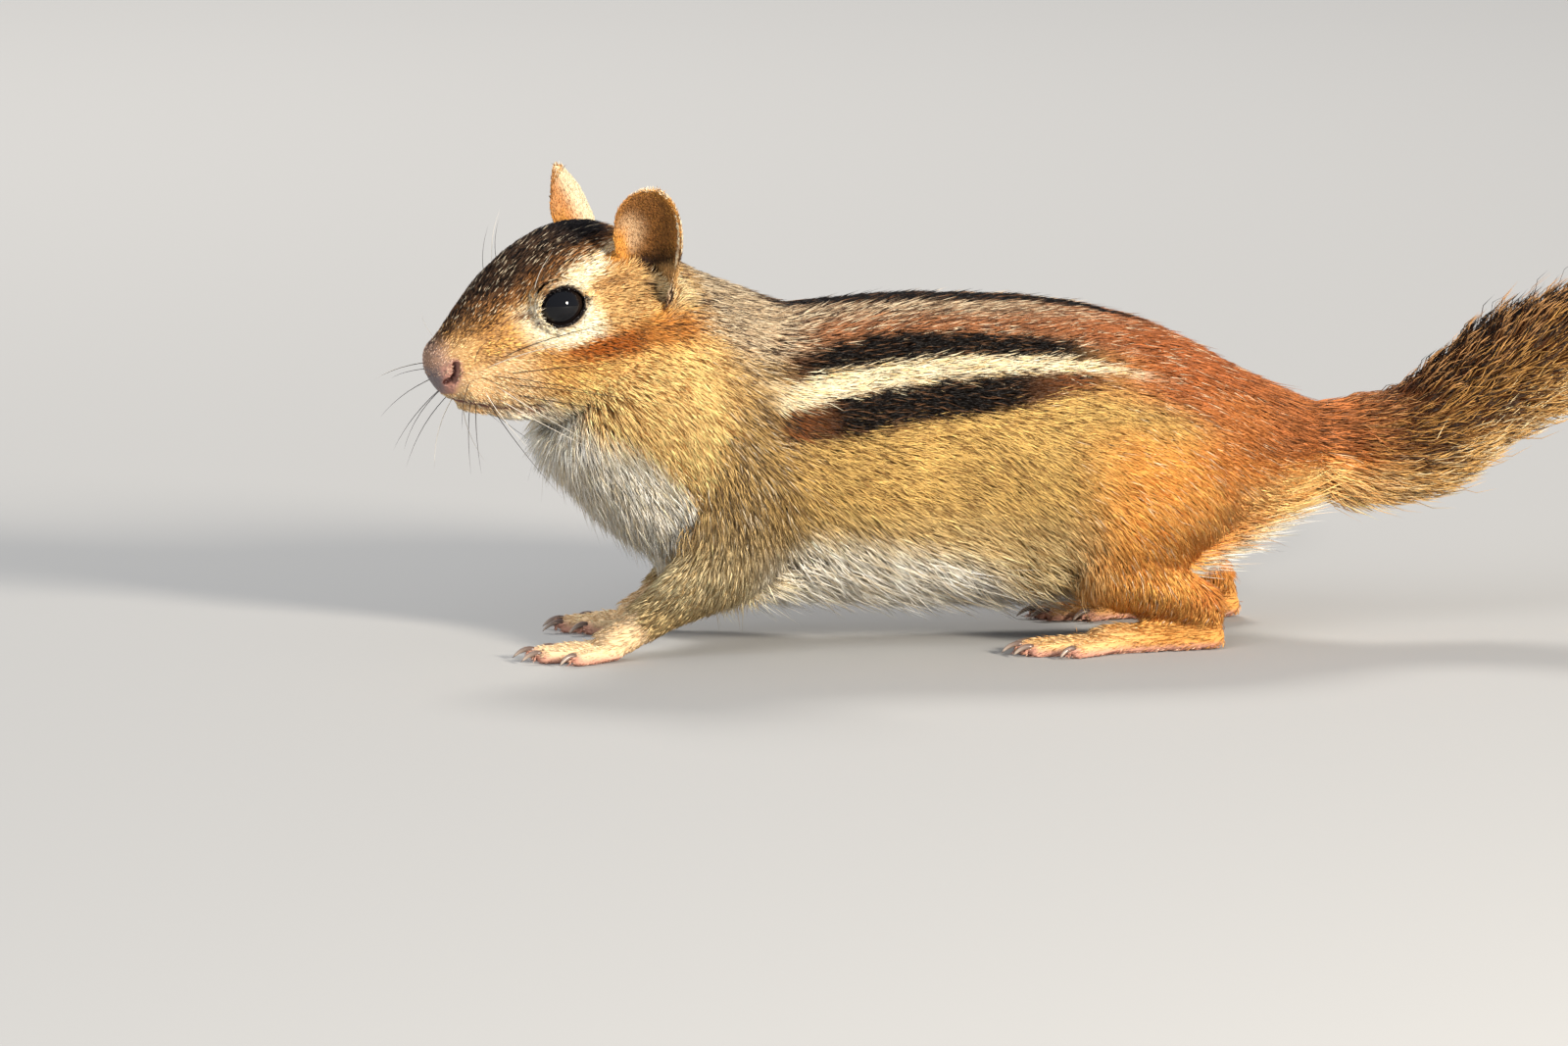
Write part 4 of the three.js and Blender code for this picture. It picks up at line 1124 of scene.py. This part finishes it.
def painted(points, parts, outward):
    paint = paint_body(points)
    u, v, w = on_head(points).T
    z = points[:, 2] / MM
    for part in PARTS:
        chosen = np.flatnonzero(parts == PARTS.index(part))
        if part in FACE_ENDS:
            face = 1 - step(u[chosen], *FACE_ENDS[part])
            paint.blend(chosen, face, paint_head(points[chosen]).coats)
        elif part == "ear":
            paint.blend(chosen, 1, paint_ear(points[chosen], outward[chosen]).coats)
        elif part in ("front_foot", "hind_foot"):
            paint.blend(chosen, 1, paint_foot(points[chosen]).coats)
    front = parts == PARTS.index("front_leg")
    paint.over(front * (1 - step(z, 6, 14)), "DCBE86", "8C6E46", 0.3)
    hind = parts == PARTS.index("hind_leg")
    x = points[:, 0] / MM
    paint.over(hind * step(x, -16, 0) * (1 - step(z, 24, 32)), "EAAA58", "CC8038", 0.32, 0.06)
    paint.over(hind * step(x, 1, 8) * (1 - step(z, 12, 20)), DEEP_ORANGE, RUST, 0.35)
    paint.over(hind * (1 - step(z, 5, 11)), "E2A456", "C87E38", 0.35, 0.05)
    # Painted light: the groove between the thigh and the rump is painted paler, as if sunlit.
    painted_light_in_groove = hump(x, z, (9, 19), (7, 6)) * (np.abs(points[:, 1]) > 7 * MM)
    paint.over(0.7 * painted_light_in_groove, "FFBE70", "E09A50", 0.3)
    return paint


def tinted(colours, tint, mask):
    return colours + (tint - colours) * mask[:, None]


def colour_points(piece, name, colours):
    layer = piece.data.attributes.new(name, "FLOAT_COLOR", "POINT")
    layer.data.foreach_set("color", np.hstack([colours, np.ones((len(colours), 1))]).ravel())


UNDERCOAT = np.array([0.66, 0.58, 0.5])  # how light the woolly hair underneath is beside the coat
TEAR_PLACE = (-3.9, -0.75)  # the wet front corner of the eye, from the middle of the lids
EAR_BARE, FOOT_BARE = 0.6, 0.9  # how little woolly hair there is on them
main, tick, ticking, _ = painted(surface, part_of, outward).split()
skin_colour = blurred(tinted(main, tick, ticking), 1) * UNDERCOAT
for bare in (on_parts("ear") * EAR_BARE, on_parts("front_foot", "hind_foot") * FOOT_BARE):
    skin_colour = skin_colour * (1 + bare[:, None] * (1 / UNDERCOAT - 1))
u, v, w = on_head(surface).T
nose = (1 - step(u, 1.6, 2.8)) * step(v, -5.4, -4.4) * (1 - step(v, -1.2, 0.6))
round_nostril = (1 - step(from_line(u, v, NOSTRIL), 0.6, 1.2)) * (u < 4.2)
nose = np.maximum(nose, round_nostril) * on_parts("head")
# The bare nose is pink, with painted shade in grey on its front.
nose_colour_and_front_shade = tinted(NOSE_PINK, NOSE_FRONT_SHADE, 1 - step(u, 0.3, 1.4))
skin_colour = tinted(skin_colour, nose_colour_and_front_shade, nose)
hole = in_nostril(surface) * on_parts("head")
skin_colour = tinted(skin_colour, NOSTRIL_DARK, step(hole, 0.05, 0.6))
lips = (1 - step(from_line(u, v, MOUTH_LINE), 0.15, 0.55)) * (u < 14) * (np.abs(w) > 0.5)
skin_colour = tinted(skin_colour, LIP_RED, lips * on_parts("head"))
rim = (1 - step(lid_edge(surface), LID_RIM - 0.05, LID_RIM + 0.15)) * on_parts("head")
skin_colour = tinted(skin_colour, LID_BLACK, rim)
tear = np.zeros(len(surface))
for side in BOTH_SIDES:
    back, over, out = (eye_view(surface, side)[0] - [LID_PLACE[0], LID_PLACE[1], 0]).T
    corner = 1 - step(np.hypot(back - TEAR_PLACE[0], over - TEAR_PLACE[1]), 0.2, 0.55)
    tear = np.maximum(tear, corner * (out > 0) * (out < 6))
skin_colour = tinted(skin_colour, TEAR_PINK, tear)
colour_points(skin, "coat_colour", skin_colour)
wet = np.clip(np.maximum(rim * 1.1, nose * 0.6), 0, 1.1)
colour_points(skin, "wet", np.stack([wet, nose, nose], 1))

undercoat = Finish("skin_and_undercoat", {"Specular IOR Level": 0.3})
undercoat.feed("Base Color", undercoat.attribute("coat_colour"))
wetness = undercoat.node("ShaderNodeSeparateColor", {}, {0: undercoat.attribute("wet")})
undercoat.feed("Roughness", 0.8 - wetness * 0.55)
fuzz = {"Vector": undercoat.place(), "Scale": 2600.0, "Detail": 3.0}
grain = undercoat.node("ShaderNodeTexNoise", {}, fuzz)
pores = {"Vector": undercoat.place(), "Scale": 2200.0}
pebbles = undercoat.node("ShaderNodeTexVoronoi", {}, pores, output="Distance")
relief = {"Strength": 0.6, "Distance": 0.2 * MM, "Height": grain + pebbles * wetness * 2.5}
undercoat.feed("Normal", undercoat.node("ShaderNodeBump", {}, relief))
skin.data.materials.clear()
skin.data.materials.append(undercoat.material)
for face in skin.data.polygons:
    face.use_smooth = True
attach(skin, "root")
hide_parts(*FLESH, "tail_base", "tail_middle", "tail_tip")


# The coat: thin tufts of a few hairs, each a closed spindle that rises out of the skin, bends over
# and lies along the body over its neighbours. They are sown on the skin, face by face.
PATCH = 0.003  # of the map that the colours are baked on, for one tuft


def own_squares(count):
    """The middles of as many squares of a map, side by side, and how wide each may be."""
    rows = math.ceil(math.sqrt(count))
    number = np.arange(count)
    return np.column_stack([number % rows + 0.5, number // rows + 0.5]) / rows, 0.8 / rows


def spindles(name, spines, radii, colours, patches, finish, sides=3, patch=PATCH):
    """One mesh of closed strands along rows of points, which close in a point at both ends."""
    count, stations = spines.shape[:2]
    onward = unit(np.gradient(spines, axis=1))
    across = unit(np.cross(onward, [0.31, 0.17, 0.93]))
    over = np.cross(across, onward)
    points = [spines[:, :1]]
    shades = [colours[:, :1]]
    for station in range(1, stations - 1):
        for corner in range(sides):
            angle = 2 * math.pi * corner / sides
            aside = across[:, station] * math.cos(angle) + over[:, station] * math.sin(angle)
            points.append((spines[:, station] + aside * radii[:, station, None])[:, None])
            shades.append(colours[:, station : station + 1])
    points = np.concatenate(points + [spines[:, -1:]], axis=1)
    shades = np.concatenate(shades + [colours[:, -1:]], axis=1)
    last = points.shape[1] - 1
    faces = []
    for corner in range(sides):
        after = (corner + 1) % sides
        faces.append([(0, corner, 0), (1 + after, corner + 1, 1), (1 + corner, corner, 1)])
        for station in range(1, stations - 2):
            here = 1 + (station - 1) * sides
            there = here + sides
            a = (here + corner, corner, station)
            b = (here + after, corner + 1, station)
            c = (there + corner, corner, station + 1)
            d = (there + after, corner + 1, station + 1)
            faces += [[a, b, c], [b, d, c]]
        ring = last - sides
        end = stations - 2
        a, b = (ring + corner, corner, end), (ring + after, corner + 1, end)
        faces.append([a, b, (last, corner, end + 1)])
    faces = np.array(faces)
    corners = faces[:, :, 0].ravel()
    where = faces[:, :, 1:].reshape(-1, 2) / (sides, stations - 1) - 0.5

    mesh = bpy.data.meshes.new(name)
    size = points.shape[1]
    mesh.vertices.add(count * size)
    mesh.vertices.foreach_set("co", points.ravel())
    mesh.loops.add(count * len(corners))
    order = (np.arange(count)[:, None] * size + corners).ravel()
    mesh.loops.foreach_set("vertex_index", order)
    mesh.polygons.add(count * len(faces))
    mesh.polygons.foreach_set("loop_start", np.arange(count * len(faces)) * 3)
    mesh.update(calc_edges=True)
    mesh.polygons.foreach_set("use_smooth", np.ones(count * len(faces), bool))
    unwrapped = mesh.uv_layers.new(name="OFBake")
    unwrapped.data.foreach_set("uv", (patches[:, None] + where * patch).ravel())
    piece = bpy.data.objects.new(name, mesh)
    bpy.context.scene.collection.objects.link(piece)
    colour_points(piece, "coat_colour", shades.reshape(-1, 3))
    mesh.materials.append(finish)
    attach(piece, "root")
    return piece


def triangles(mesh):
    mesh.calc_loop_triangles()
    return [read(mesh.loop_triangles, what, 3, int) for what in ("vertices", "loops")]


skin_faces, skin_loops = triangles(skin.data)


def unwrapped_skin(face_mask):
    """A map of the chosen part of the skin, unwrapped by its own shape and filling the square."""
    if "unwrap" not in skin.data.uv_layers:
        skin.data.uv_layers.new(name="unwrap")
    polygon_of = read(skin.data.loop_triangles, "polygon_index", 1, int)[:, 0]
    chosen = np.zeros(len(skin.data.polygons), bool)
    chosen[polygon_of[face_mask]] = True
    edited(skin, "FACE", chosen)
    bpy.ops.uv.smart_project(angle_limit=math.radians(66), island_margin=0.002)
    bpy.ops.object.mode_set(mode="OBJECT")
    layer = skin.data.uv_layers["unwrap"]
    return read(layer.data, "uv", 2).clip(PATCH / 2, 1 - PATCH / 2)


def strand_finish(name, roughness, gloss):
    finish = Finish(name, {"Roughness": roughness, "Specular IOR Level": gloss})
    finish.feed("Base Color", finish.attribute("coat_colour"))
    return finish.material


HAIR = strand_finish("hair", 0.45, 0.25)
face_parts = part_of[skin_faces[:, 0]]
face_middle = surface[skin_faces].mean(1)
first, second, third = surface[skin_faces].transpose(1, 0, 2)
face_areas = np.linalg.norm(np.cross(second - first, third - first), axis=1) / 2


def waves(points, size, seed):
    """Three slow random waves over the body, from -1 to 1, by which locks of hair lean alike."""
    draw = np.random.default_rng(seed)
    total = np.zeros((len(points), 3))
    for _ in range(5):
        ways = draw.normal(size=(3, 3)) / size
        total += np.sin(points / MM @ ways + draw.uniform(0, 6.28, 3))
    return total / 3


DENSER_BY_EYE = 1.4  # how much more densely the shorter hair round the lids grows
LEAST_DEPTH = 0.12  # of any part of the coat, in millimetres
LOCK_SIZE, LOCK_LEAN = 4.0, 0.13  # how wide the locks that lean alike are, and how far they lean
GUARD_LENGTH, GUARD_WIDTH = 1.35, 0.6  # of the few hairs that stand out of the coat
RISE_BY_LIDS = ((0.4, 2.5), (0.35, 1))  # how far hair rises there, for its distance from the lids
SHORT_STATIONS, TAIL_STATIONS = (0, 0.42, 1), (0, 0.33, 0.68, 1)  # shares of a tuft's length
ROOT_SUNK = 0.12  # how deep in the skin a tuft starts
LEAST_HEIGHT = 0.1  # of any hair over the floor
COLOUR_SPREAD = 0.35  # how far off its root a tuft may take its colour
TONE_SPREAD = 0.16
TIP_LEVEL = 1.12
FROST = srgb("E6D3B2")
FROST_SHARE = 0.75


def sow(name, mask, count, width, seed, stray=0.16, wild=0.03):
    """Covers the chosen faces of the skin with tufts, and makes them one piece."""
    draw = np.random.default_rng(seed)
    faces = np.flatnonzero(mask)
    from_lids = step(lid_edge(face_middle[faces]), 1.2, 3.2)
    weight = face_areas[faces] * (1 + DENSER_BY_EYE - DENSER_BY_EYE * from_lids)
    picked = faces[np.searchsorted(np.cumsum(weight) / weight.sum(), draw.random(count))]
    split = np.sort(draw.random((count, 2)), axis=1)
    shares = np.stack([split[:, 0], split[:, 1] - split[:, 0], 1 - split[:, 1]], 1)[..., None]
    corners = skin_faces[picked]
    patches = (unwrapped_skin(mask)[skin_loops[picked]] * shares).sum(1)

    roots = (surface[corners] * shares).sum(1)
    out = unit((outward[corners] * shares).sum(1))
    way = along_surface((way_at[corners] * shares).sum(1), out)
    length = (length_at[corners] * shares[..., 0]).sum(1) * MM
    depth = np.maximum((depth_at[corners] * shares[..., 0]).sum(1), LEAST_DEPTH) * MM
    parts = part_of[corners[:, 0]]
    on_tail = (parts == PARTS.index("tail")).all()
    if on_tail:
        depth = tail_frame(roots)[1] * 0.95
    depth = np.where(parts == PARTS.index("ear"), depth * 0.6, depth)

    aside = np.cross(out, way)
    lean = waves(roots, LOCK_SIZE, 5)[:, :1] * LOCK_LEAN + draw.normal(0, stray, (count, 1))
    way = unit(way + aside * lean)
    rim = lid_edge(roots)
    by_eye = rim < 4
    toward = np.zeros(count)
    for side in BOTH_SIDES:
        seen = unit(np.array(eye_centre(side)) - roots[by_eye])
        toward[by_eye] = np.maximum(toward[by_eye], (seen * way[by_eye]).sum(1))
    short = by_eye & (toward > 0.2)
    room = np.maximum(rim - LID_RIM, 0) + 0.25
    length = np.where(short, np.minimum(length, room * MM), length)
    guard = draw.random(count) < wild
    length = length * draw.uniform(0.75, 1.15, count) * np.where(guard, GUARD_LENGTH, 1)
    shag = (shag_at[corners] * shares[..., 0]).sum(1)
    rise = depth * shag * draw.uniform(0.55, 1.2, count) * (1 + 0.15 * waves(roots, 3.0, 9)[:, 1])
    rise = np.minimum(rise * np.where(guard, GUARD_LENGTH, 1), 0.8 * length)
    rise = rise * np.interp(rim, *RISE_BY_LIDS)
    reach = np.sqrt(length**2 - rise**2)

    stations = np.array(TAIL_STATIONS if on_tail else SHORT_STATIONS)
    spines = np.empty((count, len(stations), 3))
    for i, share in enumerate(stations):
        lift = math.sin(0.5 * math.pi * share) ** 0.9
        spines[:, i] = (
            roots
            + way * (reach * share)[:, None]
            + out * (rise * lift - ROOT_SUNK * MM * (1 - share) - 0.05 * rise * share**3)[:, None]
            + aside * (draw.normal(0, 0.05, count) * length * share**2)[:, None]
        )
    spines[..., 2] = np.maximum(spines[..., 2], LEAST_HEIGHT * MM)
    thickness = width * MM * draw.uniform(0.7, 1.3, count) * np.where(guard, GUARD_WIDTH, 1)
    radii = np.zeros((count, len(stations)))
    radii[:, 1] = thickness / 2
    if on_tail:
        radii[:, 2] = thickness * 0.38

    spread = draw.normal(0, COLOUR_SPREAD, (count, 3)) * MM
    main, tick, ticking, frosting = painted(roots + spread, parts, out).split()
    ticked = draw.random(count) < ticking
    base = np.where(ticked[:, None], tick, main)
    frosted = (draw.random(count) < frosting) & (rim > 1)
    tone = np.exp(draw.normal(0, TONE_SPREAD, count)) * (1 + 0.08 * waves(roots, 2.5, 3)[:, 2])
    base = base * np.clip(tone, 0.5, 1.7)[:, None]
    base = tinted(base, LID_BLACK, 1 - step(rim, LID_RIM, LID_RIM + 0.08))
    root_level = np.interp(length / MM, (0.8, 3), (0.85, 0.48))[:, None]
    levels = [root_level + (TIP_LEVEL - root_level) * share**0.6 for share in stations]
    colours = np.stack([base * level for level in levels], 1)
    colours[frosted, 1:] = colours[frosted, 1:] * (1 - FROST_SHARE) + FROST * FROST_SHARE
    if on_tail:
        colours = tail_bands(roots, out, colours, stations, draw)
    piece = spindles(name, spines, radii, np.clip(colours, 0, 0.93), patches, HAIR)
    return piece


# The tail's hair: rusty at the root, then black, and pale at the tip. The brush looks dark above
# and gold below.
TAN = srgb("C4905A")
BLONDE = srgb("EAD4A6")
TAIL_MIDDLE = 60.0  # where the coat's two pieces on the tail meet


def tail_bands(roots, out, rump, stations, draw):
    count = len(roots)
    way = tail_frame(roots)[0]
    over = unit(np.array([0, 0, 1]) - way * way[:, 2:])
    height = (out * over).sum(1) + draw.normal(0, 0.16, count)
    pick = draw.random(count)
    zones = [height > 0.55, height > -0.1, height > -0.35]
    palest = np.where((pick < 0.88)[:, None], BLONDE, BLACK)
    lower = np.where((pick < 0.62)[:, None], GOLD, palest)
    choices = [
        np.where((pick < 0.55)[:, None], BLACK * 1.3, TAN),
        np.where((pick < 0.6)[:, None], srgb("C89450"), srgb("3A2C22")),
        np.where((pick < 0.7)[:, None], srgb("4A3424"), srgb("A87840")),
    ]
    tip = np.select([zone[:, None] for zone in zones], choices, lower)
    dark = np.where((height > -0.35)[:, None], BLACK * 1.4, srgb("7A5630"))
    tone = np.exp(draw.normal(0, 0.18, count))[:, None]
    hair = np.empty((count, len(stations), 3))
    hair[:, 0] = RUST * 0.35
    hair[:, 1] = 0.5 * RUST * 0.6 + 0.5 * dark
    hair[:, 2] = 0.45 * dark + 0.55 * tip
    hair[:, 3] = tip
    hair = hair * tone[:, None]
    start = step(roots[:, 0] / MM + draw.normal(0, 2, count), 20, 38)[:, None, None]
    return rump * (1 - start) + hair * start


def faces_on(*names):
    return np.isin(face_parts, [PARTS.index(name) for name in names])


head_u, head_v, head_w = on_head(face_middle).T
on_nose = (head_v > -4.7) & (head_u < 2.6) & (head_v < -1.5)
in_hole = from_line(head_u, head_v, NOSTRIL) < 0.6
in_mouth = (from_line(head_u, head_v, MOUTH_LINE) < 0.15) & (head_u < 12)
in_notch = (from_line(head_u, head_v, NOTCH) < 0.45) & (np.abs(head_w) > 8)
bald = on_nose | (in_hole & (head_u < 4.5)) | in_mouth | in_notch
bald |= lid_edge(face_middle) < LID_RIM
head_faces = faces_on("head") & ~bald
around_trunk = round_trunk(face_middle)
flank = (around_trunk >= 48) & (around_trunk < 125)
trunk = faces_on("torso")
left = face_middle[:, 1] < 0
sow("coat_head_left", head_faces & (head_w > 0), 27000, 0.14, 11, stray=0.13)
sow("coat_head_right", head_faces & (head_w <= 0), 27000, 0.14, 12, stray=0.13)
sow("coat_neck", faces_on("neck"), 25000, 0.19, 13, stray=0.2, wild=0.08)
sow("coat_back", trunk & (around_trunk < 48), 24000, 0.185, 14, wild=0.05)
sow("coat_flank_left", trunk & flank & left, 27000, 0.18, 15)
sow("coat_flank_right", trunk & flank & ~left, 25000, 0.18, 16)
belly = trunk & (around_trunk >= 125)
sow("coat_belly", belly, 14000, 0.23, 17, stray=0.25, wild=0.15)
sow("coat_hind_legs", faces_on("hind_leg"), 18000, 0.2, 18)
sow("coat_front_legs", faces_on("front_leg"), 12000, 0.19, 19)
sow("coat_feet", faces_on("front_foot", "hind_foot"), 9000, 0.13, 20, stray=0.12)
sow("coat_ears", faces_on("ear"), 12000, 0.1, 21, stray=0.14)
tail_base = face_middle[:, 0] < TAIL_MIDDLE * MM
sow("coat_tail_base", faces_on("tail") & tail_base, 10000, 0.22, 22, stray=0.16)
sow("coat_tail_end", faces_on("tail") & ~tail_base, 9000, 0.22, 23, stray=0.18)
for layer in list(skin.data.uv_layers):
    skin.data.uv_layers.remove(layer)
thinned(skin, SHARE_UNDER_COAT)


# The claws: thin hooked horns, dark and a little glossy, with paler tips. Each is a tapered rod
# along a bent line, and grows out of the end of its toe.
CLAW_COLOUR = srgb("5A463E")
CLAW_TIP = srgb("B8A594")
CLAW_HALF_WIDTH = 0.52


def strands(name, spines, radii, colours, finish, sides=3):
    """A piece of a few strands, each with its own square of the map."""
    squares, wide = own_squares(len(spines))
    rows = [np.array(spines), np.array(radii), np.array(colours)]
    piece = spindles(name, *rows, squares, finish, sides=sides, patch=wide)


def claws():
    stations = np.linspace(0, 1, 8)
    spines, radii, colours = [], [], []
    for end, way, claw in toes():
        ahead = -0.9 + (claw + 1.1) * stations
        high = 1.25 + 1.9 * stations * (1 - stations) - 1.0 * stations**2
        ground = end + way * ahead[:, None]
        spines.append(np.column_stack([ground, high]) * MM)
        radii.append((CLAW_HALF_WIDTH * (1 - stations) ** 0.6 + 0.04) * MM)
        colours.append(CLAW_COLOUR + (CLAW_TIP - CLAW_COLOUR) * (stations**2)[:, None])
    horn = strand_finish("claw_horn", 0.3, 0.5)
    strands("claws", spines, radii, colours, horn, sides=10)


claws()

# The whiskers: long springy bristles in rows on both pads of the lip, most of them dark, with a few
# more over each eye and behind the mouth. Each tapers to nothing and bends back a little.
WHISKER_ROWS = [-2.0, -3.6, -5.2, -6.6]
WHISKER_COLUMNS = [4.0, 5.6, 7.2, 9.0]
BROW_BRISTLES = [(15.8, 6.4), (17.4, 7.3), (19.0, 7.6)]
CHEEK_BRISTLES = [(12.0, -11.5), (13.5, -11.5)]
WHISKER_WIDTH, BRISTLE_WIDTH = 0.085, 0.06
DARK_SHARE = 0.7
WHISKER_DARK, WHISKER_PALE = srgb("2A201C"), srgb("E6DCCB")
WHISKER_LIMITS = ((-113.0, -26.0, 1.0), (113.0, 26.0, 71.0))  # two corners of their room


def whiskers():
    draw = np.random.default_rng(31)
    skin_points = tree_of(surface)
    stations = np.linspace(0, 1, 9)
    spines, radii, colours = [], [], []

    def bristle(place, way, droop, length, thickness, sign):
        root = from_head([place[0], place[1], place[2] * sign])
        nearest = skin_points.find(root)[1]
        root = surface[nearest] - outward[nearest] * 0.3 * MM
        ahead = unit(turned_from_head([way[0], way[1], way[2] * sign]))
        bend = turned_from_head([droop[0], droop[1], droop[2] * sign])
        line = root + (ahead * stations[:, None] + bend * (stations**2)[:, None]) * length * MM
        low, high = np.array(WHISKER_LIMITS) * MM
        if (line < low).any() or (line > high).any():
            over = np.maximum((low - line).max(), (line - high).max())
            line = root + (line - root) * (1 - min(0.6, over / (length * MM) * 1.6))
        spines.append(line)
        radii.append(thickness * (1 - stations) ** 0.7 * MM)
        shade = WHISKER_DARK if draw.random() < DARK_SHARE else WHISKER_PALE
        colours.append(np.tile(shade, (len(stations), 1)))

    for sign in BOTH_SIDES.values():
        for row, up in enumerate(WHISKER_ROWS):
            for column, behind in enumerate(WHISKER_COLUMNS):
                place = (behind + draw.normal(0, 0.25), up + draw.normal(0, 0.2), 4.5)
                forward = 0.9 - 0.55 * column - 0.25 * sign
                back = -forward + draw.normal(0, 0.12)
                way = (back, 0.3 - 0.36 * row + draw.normal(0, 0.1), 0.75)
                droop = (0.12 + 0.08 * column, -0.22 + draw.normal(0, 0.06), -0.1)
                length = draw.uniform(11, 15) + 2.6 * column
                bristle(place, way, droop, length, WHISKER_WIDTH, sign)
        for behind, up in BROW_BRISTLES:
            way = (0.25 + draw.normal(0, 0.1), 0.9, 0.45)
            place = (behind, up, 9)
            bristle(place, way, (0.3, -0.1, 0), draw.uniform(7, 10), BRISTLE_WIDTH, sign)
        for behind, up in CHEEK_BRISTLES:
            way = (0.4, -0.8, 0.35 + draw.normal(0, 0.1))
            place = (behind, up, 6)
            bristle(place, way, (0.3, -0.1, 0), draw.uniform(7, 10), BRISTLE_WIDTH, sign)
    stiff = strand_finish("whisker", 0.35, 0.5)
    strands("whiskers", spines, radii, colours, stiff)


whiskers()
